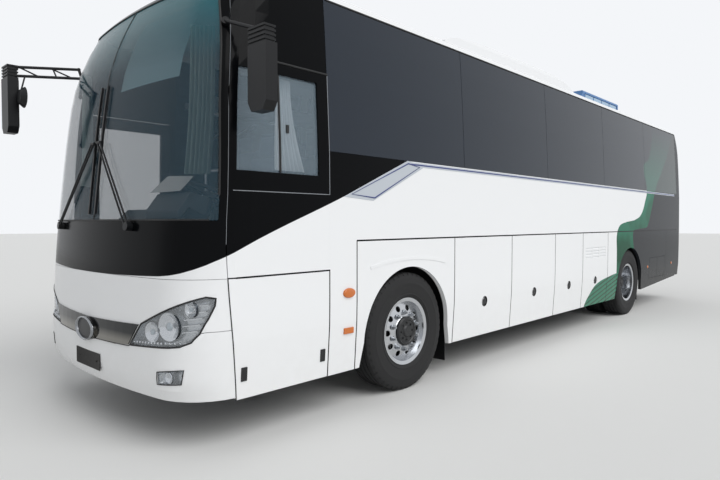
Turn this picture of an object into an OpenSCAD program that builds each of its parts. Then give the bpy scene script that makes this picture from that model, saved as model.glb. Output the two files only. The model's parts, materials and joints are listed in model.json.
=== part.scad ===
/* [Body] */
// Distance between the two axles
wheelbase = 5800; // [5700:10:5900]
// Nose of the body ahead of the front axle
front_overhang = 2330; // [2300:5:2360]
// Tail of the body behind the rear axle
rear_overhang = 3000; // [2950:10:3100]
// Width over the side panels
body_width = 2550; // [2530:2:2570]
// Underside of the skirt above the ground
skirt_z = 320; // [310:2:340]
// Underside of the tail above the ground
tail_z = 480; // [460:5:500]
// Seam between the flaps and the waist panels
belt_z = 1375; // [1360:5:1390]
// Lower edge of the side glass
sill_z = 2065; // [2040:5:2080]
// Upper edge of the side glass
eave_z = 3245; // [3235:5:3260]
// Crown of the roof
roof_z = 3400; // [3395:1:3410]
// Thickness of the outer walls, doors and flaps
wall = 45; // [40:1:50]
// Thickness of the window glass
glass_t = 8; // [6:1:10]
// Seam between neighbouring panels
seam = 6; // [6:1:8]
// Gap at a hinged edge, with the hinge line in its middle
hinge_gap = 10; // [10:1:14]

/* [Front] */
// Radius of the face seen from above
nose_r = 6100; // [5800:50:6400]
// Radius of the front corners seen from above
corner_r = 410; // [380:5:430]
// Lower edge of the bumper
bumper_z = 340; // [332:2:356]
// Top of the bumper under the bright bar
bumper_top_z = 658; // [650:2:662]
// Seam between the nose and the black mask
mask_z = 1150; // [1130:5:1170]
// Lower edge of the windscreen
screen_z = 1534; // [1515:5:1550]
// Upper edge of the windscreen
screen_top_z = 3195; // [3180:5:3205]
// Width of the seam in the middle of the windscreen
screen_seam = 14; // [10:1:20]

/* [Wheels] */
// Outer diameter of the tyres
tyre_d = 1064; // [1050:2:1076]
// Width of a tyre
tyre_w = 290; // [280:2:296]
// Diameter of the rim seat under the tyre bead
seat_d = 572; // [566:1:578]
// Distance between the front wheel centres
front_track = 2200; // [2190:2:2210]
// Distance between the outer rear wheel centres
rear_track = 2200; // [2190:2:2210]
// Distance between the two wheels of a twin
twin_gap = 330; // [324:1:336]
// Number of hand holes in a wheel
hand_holes = 10; // [8:1:10]
// Diameter of a hand hole
hand_hole_d = 54; // [46:1:58]
// Distance between the two kingpins
kingpin_track = 1860; // [1850:2:1870]
// Radius of the front wheel arch
front_arch_r = 600; // [592:2:608]
// Radius of the rear wheel arch
rear_arch_r = 580; // [572:2:588]

/* [Side] */
// Rear edge of the driver's door panel ahead of the front axle
cab_x = 1005; // [995:1:1015]
// Rear edge of the front arch panel behind the front axle
bay_x = 700; // [690:2:710]
// Front edge of the rear arch panel ahead of the rear axle
rear_bay_x = 1010; // [1000:2:1020]
// Number of panes along a side
pane_count = 5; // [4:1:6]
// Top of the left front service flap
service_z = 1155; // [1145:1:1165]
// Lower edge of the passenger door
door_z = 350; // [345:1:360]
// Top of the passenger door
door_top_z = 2550; // [2530:5:2570]
// Front edge of the passenger door ahead of the front axle
door_x = 1820; // [1800:2:1824]

/* [Cabin] */
// Top of the saloon floor
deck_z = 1350; // [1340:2:1360]
// Thickness of the floors
deck_t = 50; // [40:1:60]
// Top of the driver's platform
cab_floor_z = 950; // [930:5:970]
// Distance between the seat rows
seat_pitch = 780; // [760:5:790]
// Number of seat rows
seat_rows = 11; // [9:1:11]

/* [Roof] */
// Length of the roof air conditioner
ac_length = 3300; // [3200:10:3400]
// Height of the roof air conditioner above the crown
ac_height = 200; // [180:5:220]
// Length of the roof battery cooler
cooler_length = 1600; // [1550:10:1650]

/* [Hidden] */
$fn = 64;

// The mirrors reach this far ahead of the nose and out from the middle
mirror_ahead = 120;
mirror_out = 1620;
nose_x = front_overhang;
tail_x = wheelbase + rear_overhang;
// The part stands with the middle of its whole length at the origin
front_axle_x = (tail_x - nose_x - mirror_ahead) / 2;
hub_z = tyre_d / 2;
half_w = body_width / 2;
slack = 0.3;
glass_gap = 0.7;
joint_gap = 0.4;
running_gap = 6;

// Height and tuck of the side against the full half width, from skirt to crown
side_rows = [
  [skirt_z, 30], [skirt_z + 400, 3], [skirt_z + 560, 0], [belt_z, 0], [sill_z, 7],
  [sill_z + (eave_z - sill_z) * 0.5, 35], [sill_z + (eave_z - sill_z) * 0.8, 57], [eave_z, 75],
  [eave_z + 55, 110], [eave_z + 95, 175], [eave_z + 115, 275], [eave_z + 135, 475],
  [eave_z + 148, 775], [roof_z, 1150]
];
// Height and setback of the face behind the nose, along the middle line
nose_rows = [
  [skirt_z, 62], [skirt_z + 90, 14], [skirt_z + 240, 0], [800, 5], [mask_z, 25], [screen_z, 57],
  [1900, 95], [2300, 140], [2620, 188], [2850, 258], [3050, 342], [3195, 418], [eave_z, 455],
  [eave_z + 75, 560], [eave_z + 125, 690], [roof_z, 900]
];
// Height and setback of the tail
tail_rows = [
  [tail_z - 200, 20], [tail_z, 12], [tail_z + 220, 0], [2300, 0], [2823, 10], [3000, 55],
  [3150, 115], [eave_z, 175], [eave_z + 75, 270], [eave_z + 125, 400], [roof_z, 600]
];
// Height and place of the seam behind the front corner
seam_rows = [
  [skirt_z, 1845], [service_z, 1919], [belt_z, 1926], [1727, 1905], [2332, 1874], [2980, 1800],
  [eave_z, 1748], [roof_z, 1700]
];
// Each end of the body: profile rows, radius of the face, radius of the corners, reach of the tip
front_end = [nose_rows, nose_r, corner_r, nose_x];
rear_end = [tail_rows, 12000, 150, tail_x];

function half(z) = half_w - lookup(z, side_rows);
function seam_x(z) = smooth(seam_rows, z);

// Smooth curve through the rows of a table
function slope(rows, k) =
  k == 0 ? (rows[1][1] - rows[0][1]) / (rows[1][0] - rows[0][0]) :
  k == len(rows) - 1 ? (rows[k][1] - rows[k - 1][1]) / (rows[k][0] - rows[k - 1][0]) :
  let (
    a = (rows[k][1] - rows[k - 1][1]) / (rows[k][0] - rows[k - 1][0]),
    b = (rows[k + 1][1] - rows[k][1]) / (rows[k + 1][0] - rows[k][0])
  ) (a * b <= 0 ? 0 : 2 * a * b / (a + b));
function row_under(rows, z, k = 0) =
  k >= len(rows) - 2 || z < rows[k + 1][0] ? k : row_under(rows, z, k + 1);
function smooth(rows, z) =
  let (
    k = row_under(rows, z),
    h = rows[k + 1][0] - rows[k][0],
    t = max(0, min(1, (z - rows[k][0]) / h))
  )
  rows[k][1] * (2 * t * t * t - 3 * t * t + 1) + h * slope(rows, k) * (t * t * t - 2 * t * t + t)
  + rows[k + 1][1] * (3 * t * t - 2 * t * t * t) + h * slope(rows, k + 1) * (t * t * t - t * t);

// Outline of an end seen from above at one height: tip, half width, corner radius, corner centre
// and the angle where the face meets the corner
function tip(end, z) = end[3] - smooth(end[0], z);
function corner(end, z) = min(end[2], 0.7 * half(z));
function corner_y(end, z) = half(z) - corner(end, z);
function face_angle(end, z) = asin(corner_y(end, z) / (end[1] - corner(end, z)));
function corner_x(end, z) =
  tip(end, z) - end[1] + (end[1] - corner(end, z)) * cos(face_angle(end, z));
function face_run(end, z) = end[1] * face_angle(end, z) * PI / 180;
function corner_run(end, z) = corner(end, z) * (90 - face_angle(end, z)) * PI / 180;

// Point of the outline at a run s from the middle line
function outline(end, z, s) =
  s < 0 ? let (p = outline(end, z, -s)) [p[0], -p[1]] :
  s <= face_run(end, z) ?
    let (a = s / end[1] * 180 / PI) [tip(end, z) - end[1] * (1 - cos(a)), end[1] * sin(a)] :
  s <= face_run(end, z) + corner_run(end, z) ?
    let (a = face_angle(end, z) + (s - face_run(end, z)) / corner(end, z) * 180 / PI)
    [corner_x(end, z) + corner(end, z) * cos(a), corner_y(end, z) + corner(end, z) * sin(a)] :
  [corner_x(end, z) - (s - face_run(end, z) - corner_run(end, z)), half(z)];
// Run at which the outline is y from the middle, or x from the front axle
function run_y(end, z, y) =
  y <= end[1] * sin(face_angle(end, z)) ? end[1] * asin(y / end[1]) * PI / 180 :
  face_run(end, z)
  + corner(end, z) * (asin((y - corner_y(end, z)) / corner(end, z)) - face_angle(end, z)) * PI / 180;
function run_x(end, z, x) =
  x >= corner_x(end, z) ?
    face_run(end, z)
    + corner(end, z) * (acos((x - corner_x(end, z)) / corner(end, z)) - face_angle(end, z)) * PI / 180 :
  face_run(end, z) + corner_run(end, z) + corner_x(end, z) - x;

function unit(v) = v / norm(v);
function on_end(end, z, s) = let (p = outline(end, z, s)) [p[0], p[1], z];
function skin(end, z, s, out) =
  on_end(end, z, s) + out * unit(cross(
    on_end(end, z, s + 2) - on_end(end, z, s - 2),
    on_end(end, z + 2, s) - on_end(end, z - 2, s)));

// Stations between knots, with so many steps in each interval, and the interval of a step
function stations(knots, steps) = [
  for (a = [0 : len(steps) - 1]) for (m = [0 : steps[a] - 1])
    knots[a] + (knots[a + 1] - knots[a]) * m / steps[a],
  knots[len(steps)]
];
function interval(k, steps, a = 0) = k < steps[a] ? a : interval(k - steps[a], steps, a + 1);

// Curved panel on an end: heights and runs are given by knots and steps, and the intervals
// [height, run] in holes are left open
module panel(end, heights, rise, runs, steps, t, out = 0, holes = []) {
  zs = stations(heights, rise);
  nz = len(zs) - 1;
  ss = [for (z = zs) stations(runs(z), steps)];
  ns = len(ss[0]) - 1;
  inner = (nz + 1) * (ns + 1);
  function at(i, j) = i * (ns + 1) + j;
  function kept(i, j) =
    i >= 0 && j >= 0 && i < nz && j < ns
    && len([for (h = holes) if (h == [interval(i, rise), interval(j, steps)]) h]) == 0;
  // Near and far edges are split alike, so two panels with the same stations meet without crossing
  function near_strip(a, b) = [[a, b, b + inner], [a, b + inner, a + inner]];
  function far_strip(a, b) = [[a, b, a + inner], [b, b + inner, a + inner]];
  polyhedron(
    points = [
      for (depth = [out, -t]) for (i = [0 : nz]) for (j = [0 : ns])
        skin(end, zs[i], ss[i][j], depth)
    ],
    faces = [
      for (i = [0 : nz - 1]) for (j = [0 : ns - 1]) if (kept(i, j)) each [
        [at(i, j), at(i + 1, j), at(i + 1, j + 1)],
        [at(i, j), at(i + 1, j + 1), at(i, j + 1)],
        [inner + at(i, j), inner + at(i + 1, j + 1), inner + at(i + 1, j)],
        [inner + at(i, j), inner + at(i, j + 1), inner + at(i + 1, j + 1)],
        each kept(i - 1, j) ? [] : near_strip(at(i, j), at(i, j + 1)),
        each kept(i + 1, j) ? [] : far_strip(at(i + 1, j + 1), at(i + 1, j)),
        each kept(i, j - 1) ? [] : near_strip(at(i + 1, j), at(i, j)),
        each kept(i, j + 1) ? [] : far_strip(at(i, j + 1), at(i + 1, j + 1))
      ]
    ],
    convexity = 10
  );
}

// Rounded shell over an end, from a plane across the body to the tip. Its wall is level with the
// eaves at the bottom and lies under the crown at the top
function crown_in(k, t) = t * (1 - k / (len(crown_zs) - 1));
function crown_down(k, t) = t * k / (len(crown_zs) - 1);
module crown_shell(end, x_cut, t, n) {
  m = 2 * n + 1;
  top = len(crown_zs) - 1;
  function rim(k, inward) = [
    for (j = [-n : n])
      let (
        z = crown_zs[k],
        run = run_x(end, z, x_cut) * j / n,
        p = outline(end, z, run),
        d = unit(outline(end, z, run + 1) - outline(end, z, run - 1)),
        out = abs(j) == n ? [0, sign(j)] : [d[1], -d[0]]
      )
      inward ? [p[0] - out[0] * crown_in(k, t), p[1] - out[1] * crown_in(k, t), z - crown_down(k, t)]
      : [p[0], p[1], z]
  ];
  inner = (top + 1) * m;
  function strip(a, b, c, d) = [[a, b, c], [a, c, d]];
  polyhedron(
    points = [for (inward = [false, true]) for (k = [0 : top]) each rim(k, inward)],
    faces = [
      for (k = [0 : top - 1]) for (j = [0 : m - 2]) let (a = k * m + j) each [
        each strip(a, a + m, a + m + 1, a + 1),
        each strip(inner + a, inner + a + 1, inner + a + m + 1, inner + a + m)
      ],
      for (j = [0 : m - 2]) each strip(j, j + 1, inner + j + 1, inner + j),
      for (k = [0 : top - 1]) let (a = k * m, b = k * m + m - 1) each [
        each strip(a + m, a, inner + a, inner + a + m),
        each strip(b, b + m, inner + b + m, inner + b)
      ],
      [for (j = [m - 1 : -1 : 0]) top * m + j],
      [for (j = [0 : m - 1]) inner + top * m + j],
      each strip(top * m, inner + top * m, inner + top * m + m - 1, top * m + m - 1)
    ],
    convexity = 6
  );
}

// Frames of reference: the chassis counts from the front axle, the tail looks backwards
module chassis() {
  translate([front_axle_x, 0, 0]) children();
}
module tail() {
  mirror([1, 0, 0]) children();
}
module sides() {
  children();
  mirror([0, 1, 0]) children();
}
// A flat outline in Y and Z drawn out along X from x0 to x1
module along_x(x0, x1) {
  translate([x0, 0, 0]) rotate([90, 0, 90]) linear_extrude(x1 - x0) children();
}
// A flat outline in X and Z drawn out along Y from y0 to y1
module along_y(y0, y1) {
  translate([0, y1, 0]) rotate([90, 0, 0]) linear_extrude(y1 - y0) children();
}
module box(x, y, z) {
  translate([x[0], y[0], z[0]]) cube([x[1] - x[0], y[1] - y[0], z[1] - z[0]]);
}
// Round bar along Y
module bar_y(x, z, y0, y1, d) {
  translate([x, y0, z]) rotate([-90, 0, 0]) cylinder(d = d, h = y1 - y0);
}

// Heights of the side rows between two heights, with both ends
function heights(z0, z1) =
  concat([z0], [for (r = side_rows) if (r[0] > z0 + 1 && r[0] < z1 - 1) r[0]], [z1]);
// Section of a side wall from z0 to z1, its outer face at depth d and its thickness t
module side_section(z0, z1, d, t) {
  zs = heights(z0, z1);
  polygon(concat(
    [for (z = zs) [half(z) - d, z]],
    [for (k = [len(zs) - 1 : -1 : 0]) [half(zs[k]) - d - t, zs[k]]]
  ));
}
// Section right across the body between z0 and z1, inside the walls
module cross_section(z0, z1, d) {
  zs = heights(z0, z1);
  polygon(concat(
    [for (z = zs) [half(z) - d, z]],
    [for (k = [len(zs) - 1 : -1 : 0]) [-half(zs[k]) + d, zs[k]]]
  ));
}

// Edges of the luggage flaps, from front to rear
bay_front = -bay_x;
bay_rear = -wheelbase + rear_bay_x;
flap_parts = [0, 0.281, 0.556, 0.771, 1];
flap_edges = [for (p = flap_parts) bay_front + (bay_rear - bay_front) * p];
tail_seam_x = -tail_x + 400;
inside = wall + running_gap;

module arch_cut(x, r) {
  translate([x, 0]) {
    translate([0, hub_z - 10]) circle(r = r, $fn = 96);
    polygon([[-r, hub_z - 10], [r, hub_z - 10], [r + 60, skirt_z - 60], [-r - 60, skirt_z - 60]]);
  }
}

module side_wall(x_front) {
  difference() {
    along_x(tail_seam_x, x_front) side_section(skirt_z, sill_z, 0, wall);
    box([bay_rear, bay_front], [0, half_w + 10], [skirt_z - 10, belt_z]);
    along_y(half_w - 200, half_w + 10) {
      arch_cut(0, front_arch_r);
      arch_cut(-wheelbase, rear_arch_r);
    }
    // The skirt rises towards the tail
    along_y(half_w - 200, half_w + 10)
      polygon([
        [-wheelbase - 600, skirt_z - 1], [-wheelbase - 600, skirt_z + 40],
        [-tail_x, tail_z + 10], [-tail_x, skirt_z - 1]
      ]);
    // Seams between the fixed panels: round the front arch, along the belt and round the rear doors
    groove([bay_front, bay_x], [belt_z - seam / 2, belt_z + seam / 2]);
    groove([bay_x - seam / 2, bay_x + seam / 2], [skirt_z, belt_z]);
    groove([tail_seam_x, bay_rear], [belt_z - seam / 2, belt_z + seam / 2]);
    groove([rear_panel_x - seam / 2, rear_panel_x + seam / 2], [skirt_z, belt_z]);
    for (x = rear_door_xs)
      groove([x - seam / 2, x + seam / 2], rear_door_zs);
    for (z = rear_door_zs)
      groove([rear_door_xs[2], rear_door_xs[0]], [z - seam / 2, z + seam / 2]);
  }
  // Pressed brow over the front arch
  along_y(half_w - 3, half_w + 5)
    polygon([
      for (a = [-brow_turn : brow_turn / 8 : brow_turn]) brow_point(a, brow_r),
      for (a = [brow_turn : -brow_turn / 8 : -brow_turn]) brow_point(a, brow_r - brow_w)
    ]);
}
groove_d = 12;
module groove(x, z) {
  along_x(x[0], x[1]) side_section(z[0], z[1], -5, 5 + groove_d);
}
brow_r = 2600;
brow_w = 26;
brow_turn = 12;
brow_z = hub_z + front_arch_r + 78;
function brow_point(a, r) = [r * sin(a), brow_z - brow_r + r * cos(a)];
// Panel seam and small doors behind the rear wheel
rear_panel_x = -wheelbase - 1949;
rear_door_xs = [-wheelbase - 980, -wheelbase - 1420, -wheelbase - 1860];
rear_door_zs = [530, 890];
module side_wall_left() {
  chassis() color("whitesmoke") side_wall(cab_x);
}
module side_wall_right() {
  chassis() color("whitesmoke") mirror([0, 1, 0]) side_wall(cab_x - 30);
}

// Driver's window in the left front corner: rear edge, heights and the post ahead of it
driver_window_x = 1110;
driver_window_zs = [1870, 2570];
driver_post = 55;
driver_split = [1474, 1486];
module cab_side_left() {
  chassis() color("black")
    panel(front_end,
      [service_z, belt_z, driver_window_zs[0], driver_window_zs[1], eave_z], [2, 3, 5, 5],
      function (z) [
        run_x(front_end, z, seam_x(z) - seam / 2), run_x(front_end, z, seam_x(z) - driver_post),
        run_x(front_end, z, driver_window_x), run_x(front_end, z, cab_x + slack)
      ], [1, 6, 1], wall, 0, [[2, 1]]);
}
module driver_panes() {
  for (pane = [
      [function (z) seam_x(z) - driver_post - glass_gap, function (z) driver_split[1]],
      [function (z) driver_split[0], function (z) driver_window_x + glass_gap]
    ])
    panel(front_end, [driver_window_zs[0] + glass_gap, driver_window_zs[1] - glass_gap], [5],
      function (z) [run_x(front_end, z, pane[0](z)), run_x(front_end, z, pane[1](z))], [3],
      glass_t + 12, -12);
}
module cab_side_right() {
  chassis() color("black") mirror([0, 1, 0])
    panel(front_end,
      [skirt_z, door_z - seam, belt_z, sill_z, door_top_z + seam, eave_z], [1, 4, 3, 3, 4],
      function (z) [
        run_x(front_end, z, seam_x(z) - seam / 2),
        run_x(front_end, z, min(door_x + hinge_gap, seam_x(z) - 25)),
        run_x(front_end, z, cab_x - 20), run_x(front_end, z, cab_x - 30 + slack)
      ], [1, 7, 1], wall, 0, [[0, 1], [1, 1], [2, 1], [3, 1]]);
}
module service_door_left() {
  chassis() color("whitesmoke") {
    flap_barrels(cab_x, seam_x(service_z) - 120, service_z - hinge_gap);
    panel(front_end, [skirt_z + 2, skirt_z + 400, service_z - hinge_gap], [4, 4],
      function (z) [
        run_x(front_end, z, seam_x(z) - seam / 2), run_x(front_end, z, cab_x + seam / 2)
      ], [8], wall);
  }
}

// Passenger door: the frame of the leaf and its pane
leaf_rear_x = cab_x - 20 + seam;
module door_leaf() {
  chassis() color("black") mirror([0, 1, 0]) {
    // Hinge barrels up the front edge
    for (z = [belt_z - 400, belt_z - 140]) {
      translate([door_x + hinge_gap / 2, half(belt_z), z])
        cylinder(r = hinge_gap / 2 - slack, h = barrel_l, $fn = 24);
      box([door_x - 3, door_x + hinge_gap / 2], [half(belt_z) - 8, half(belt_z) - 1], [z, z + barrel_l]);
    }
    panel(front_end, [door_z, 700, belt_z, sill_z, door_top_z - 110, door_top_z], [2, 3, 3, 2, 1],
      function (z) [
        run_x(front_end, z, door_x), run_x(front_end, z, door_x - 90),
        run_x(front_end, z, leaf_rear_x + 90), run_x(front_end, z, leaf_rear_x)
      ], [2, 5, 1], wall, 0, [[1, 1], [2, 1], [3, 1]]);
  }
}
module door_glass() {
  chassis() color("dimgray") mirror([0, 1, 0])
    panel(front_end, [700 + glass_gap, belt_z, sill_z, door_top_z - 110 - glass_gap], [3, 3, 2],
      function (z) [
        run_x(front_end, z, door_x - 90 - glass_gap), run_x(front_end, z, leaf_rear_x + 90 + glass_gap)
      ], [5], glass_t + 10, -10);
}

// Windows along the sides
pane_length = (cab_x - tail_seam_x) / pane_count;
post_w = 90;
module window_frame(x_front) {
  difference() {
    along_x(tail_seam_x, x_front)
      side_section(sill_z, eave_z, glass_t + slack, wall - glass_t - slack);
    for (k = [0 : pane_count - 1])
      box([cab_x - pane_length * (k + 1) + post_w / 2,
           min(cab_x - pane_length * k, x_front) - post_w / 2],
        [0, half_w + 10], [sill_z + 60, eave_z - 110]);
  }
}
module window_frame_left() {
  chassis() color([0.1, 0.1, 0.1]) window_frame(cab_x);
}
module window_frame_right() {
  chassis() color([0.1, 0.1, 0.1]) mirror([0, 1, 0]) window_frame(cab_x - 30);
}
module glass_row(x_front) {
  for (k = [0 : pane_count - 1])
    along_x(cab_x - pane_length * (k + 1) + seam / 2,
      min(cab_x - pane_length * k, x_front) - seam / 2)
      side_section(sill_z + 3, eave_z - seam, 0, glass_t);
}
module cabin_glass() {
  chassis() color([0.2, 0.22, 0.24]) {
    glass_row(cab_x);
    mirror([0, 1, 0]) glass_row(cab_x - 30);
    driver_panes();
    tail() rear_pane();
  }
}

// Face of the bus
function pillar_x(z) = seam_x(z) + 48;
module front_mask() {
  chassis() color([0.08, 0.08, 0.08])
    panel(front_end, [mask_z, screen_z, screen_top_z, eave_z], [4, 10, 1],
      function (z) [
        -run_x(front_end, z, seam_x(z) + seam / 2), -run_x(front_end, z, pillar_x(z)),
        run_x(front_end, z, pillar_x(z)), run_x(front_end, z, seam_x(z) + seam / 2)
      ], [2, 32, 2], wall, 0, [[1, 1]]);
}
// Heights of the mask's rows beside the windscreen, and the middle of its pillar
function screen_row(k) = screen_z + (screen_top_z - screen_z) * k / 10;
function pillar_run(z) =
  (run_x(front_end, z, seam_x(z) + seam / 2) + run_x(front_end, z, pillar_x(z))) / 2;
// The glass stands a little freer at its curved flanks than at its straight edges
function screen_run(z) = run_x(front_end, z, pillar_x(z)) - 3 * glass_gap;
module windscreen() {
  chassis() color([0.25, 0.3, 0.33])
    for (runs = [
        function (z) [screen_seam / 2, screen_run(z)],
        function (z) [-screen_run(z), -screen_seam / 2]
      ])
      panel(front_end, [screen_z + glass_gap, screen_top_z - glass_gap], [10], runs, [16], glass_t);
}
// Edge between nose and bumper, seen from the front: it runs into the lamp and out of its far side
edge_points = [[0, 0], [630, 14], [690, 40], [1150, 130], [1215, 148], [half_w + 100, 148]];
module nose_region(grow) {
  polygon(concat(
    [for (p = edge_points) [p[0], bumper_top_z + p[1] - grow]],
    [[half_w + 100, screen_z], [-half_w - 100, screen_z]],
    [for (k = [len(edge_points) - 1 : -1 : 1])
      [-edge_points[k][0], bumper_top_z + edge_points[k][1] - grow]]
  ));
}
// Outline of the left headlamp, seen from the front
lamp_points = [
  [636, 679], [767, 839], [942, 917], [1067, 974], [1154, 1012], [1212, 1036], [1242, 1026],
  [1240, 977], [1223, 893], [1194, 798], [1160, 742], [1105, 714], [1044, 706]
];
module lamp_region(grow) {
  offset(delta = grow) polygon(lamp_points);
}
module face_panel(z0, z1, rise, t, out = 0) {
  panel(front_end, [z0, z1], [rise],
    function (z) [
      -run_x(front_end, z, seam_x(z) + seam / 2), run_x(front_end, z, seam_x(z) + seam / 2)
    ], [36], t, out);
}
module nose_panel() {
  chassis() color("whitesmoke") difference() {
    intersection() {
      face_panel(bumper_top_z - 10, mask_z - 3, 6, wall);
      along_x(1500, 2600) nose_region(-2);
    }
    sides() along_x(1500, 2600) polygon(lamp_points);
  }
}
fog_points = [[935, 455], [1100, 468], [1122, 562], [944, 538]];
module front_bumper() {
  chassis() color("whitesmoke") difference() {
    face_panel(bumper_z, bumper_top_z + 148, 6, wall);
    along_x(1500, 2600) nose_region(2);
    sides() along_x(1500, 2600) polygon(lamp_points);
    sides() along_x(1500, 2600) polygon(fog_points);
  }
}
module headlamps() {
  chassis() color("lightgray") {
    intersection() {
      face_panel(670, 1045, 6, wall + 20, -2);
      sides() along_x(1500, 2600) lamp_region(-slack);
    }
    // Fog lamps in the corners of the bumper
    intersection() {
      face_panel(440, 580, 2, wall, -3);
      sides() along_x(1500, 2600) offset(delta = -slack) polygon(fog_points);
    }
  }
}
// Beams behind the seams of the face, as wide as the flat of it, with two posts down to the rails
beam_t = 30;
face_beams = [[bumper_top_z - 40, bumper_top_z + 40, 600], [mask_z - 30, mask_z + 30, 820]];
post_back = nose_x - 190;
module face_frame() {
  chassis() color("dimgray") {
    for (beam = face_beams)
      panel(front_end, [beam[0], beam[1]], [1],
        function (z) [-run_y(front_end, z, beam[2]), run_y(front_end, z, beam[2])], [18],
        wall + beam_t, -wall - joint_gap);
    sides() {
      box([post_back, nose_x - 98], [rail_y - 40, rail_y + 40], [face_beams[0][0], face_beams[1][1]]);
      box([post_back, nose_x - 82], [rail_y - 40, rail_y + 40], [face_beams[0][0], mask_z - 150]);
    }
  }
}
module grille_bar() {
  chassis() color("silver") {
    intersection() {
      panel(front_end, [650, 850], [3],
        function (z) [-run_y(front_end, z, 780), run_y(front_end, z, 780)], [14], -2 * slack, 8);
      along_x(1500, 2600)
        polygon([
          [0, 660], [450, 664], [628, 682], [745, 832], [450, 822], [0, 812],
          [-450, 822], [-745, 832], [-628, 682], [-450, 664]
        ]);
    }
    // Oval boss in its middle
    along_x(nose_x + slack, nose_x + boss_t)
      polygon([for (a = [0 : 10 : 350]) [boss_w / 2 * cos(a), boss_z + boss_h / 2 * sin(a)]]);
  }
}
boss_w = 330;
boss_h = 180;
boss_z = 722;
boss_t = 18;

// Roof: front crown, long middle, and the end over the tail
hatch_l = 700;
hatch_w = 660;
dome_x = 1300;
rear_dome_x = tail_x - 700;
crown_zs = [for (r = side_rows) if (r[0] > eave_z - 1) r[0]];
module front_dome() {
  chassis() color("whitesmoke") crown_shell(front_end, dome_x + slack, wall, 20);
}
module roof_section() {
  top = len(crown_zs) - 1;
  outer = [for (z = crown_zs) [half(z), z]];
  under = [for (k = [0 : top]) [half(crown_zs[k]) - crown_in(k, wall), crown_zs[k] - crown_down(k, wall)]];
  polygon(concat(
    outer, [for (k = [top : -1 : 0]) [-outer[k][0], outer[k][1]]],
    [for (p = under) [-p[0], p[1]]], [for (k = [top : -1 : 0]) under[k]]
  ));
}
module roof() {
  chassis() color("whitesmoke") {
    along_x(-rear_dome_x + slack, dome_x) roof_section();
    // Escape hatches in the crown, ahead of the cooling units and behind them
    for (x = [ac_front_x + 400, cooler_x - cooler_length - 400 - hatch_l])
      along_x(x, x + hatch_l)
        polygon([
          [-hatch_w / 2, roof_z - 20], [hatch_w / 2, roof_z - 20], [hatch_w / 2, roof_z + 14],
          [hatch_w / 2 - 30, roof_z + 26], [-hatch_w / 2 + 30, roof_z + 26], [-hatch_w / 2, roof_z + 14]
        ]);
    tail() crown_shell(rear_end, rear_dome_x, wall, 14);
  }
}

// Tail of the bus
hatch_half = 1000;
hatch_zs = [720, 1760];
rear_window_zs = [2000, 2860];
module rear_panel(heights, rise, y, n, t, out = 0) {
  panel(rear_end, heights, rise,
    function (z) [-run_y(rear_end, z, y), run_y(rear_end, z, y)], [n], t, out);
}
module rear_wall() {
  chassis() color([0.25, 0.26, 0.27]) tail()
    panel(rear_end,
      [hatch_zs[0] - seam, hatch_zs[1] + hinge_gap, rear_window_zs[0], rear_window_zs[1], eave_z],
      [3, 1, 3, 5],
      function (z) [
        -run_x(rear_end, z, -tail_seam_x + slack), -run_y(rear_end, z, hatch_half + seam),
        run_y(rear_end, z, hatch_half + seam), run_x(rear_end, z, -tail_seam_x + slack)
      ], [8, 8, 8], wall, 0, [[0, 1], [2, 1]]);
}
module rear_hatch() {
  chassis() color([0.25, 0.26, 0.27]) tail() {
    rear_panel(hatch_zs, [3], hatch_half, 8, wall);
    // Hinge barrels near the middle, where the tail reaches furthest back
    for (y = [-90 - barrel_l, 90]) {
      bar_y(tail_x - hinge_gap / 2, hatch_zs[1] + hinge_gap / 2, y, y + barrel_l, hinge_gap - 2 * slack);
      box([tail_x - 10, tail_x - 3], [y, y + barrel_l], [hatch_zs[1] - 3, hatch_zs[1] + hinge_gap / 2]);
    }
  }
}
module rear_pane() {
  panel(rear_end, [rear_window_zs[0] + glass_gap, rear_window_zs[1] - glass_gap], [3],
    function (z) [
      -run_y(rear_end, z, hatch_half + seam - glass_gap), run_y(rear_end, z, hatch_half + seam - glass_gap)
    ], [8], glass_t);
}
module rear_bumper() {
  chassis() color([0.25, 0.26, 0.27]) tail()
    panel(rear_end, [tail_z, hatch_zs[0] - seam - joint_gap], [3],
      function (z) [
        -run_x(rear_end, z, -tail_seam_x + slack), -run_y(rear_end, z, hatch_half + seam),
        run_y(rear_end, z, hatch_half + seam), run_x(rear_end, z, -tail_seam_x + slack)
      ], [8, 8, 8], wall);
}

// Barrel of a hinge along X in the gap over a flap, with the leaf that joins it to the flap's edge
barrel_l = 120;
module flap_barrels(x0, x1, z) {
  for (x = [x0 + 60, x1 - 60 - barrel_l]) {
    translate([x, half(z), z + hinge_gap / 2]) rotate([0, 90, 0])
      cylinder(r = hinge_gap / 2 - slack, h = barrel_l, $fn = 24);
    box([x, x + barrel_l], [half(z) - 8, half(z) - 1], [z - 3, z + hinge_gap / 2]);
  }
}
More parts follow.
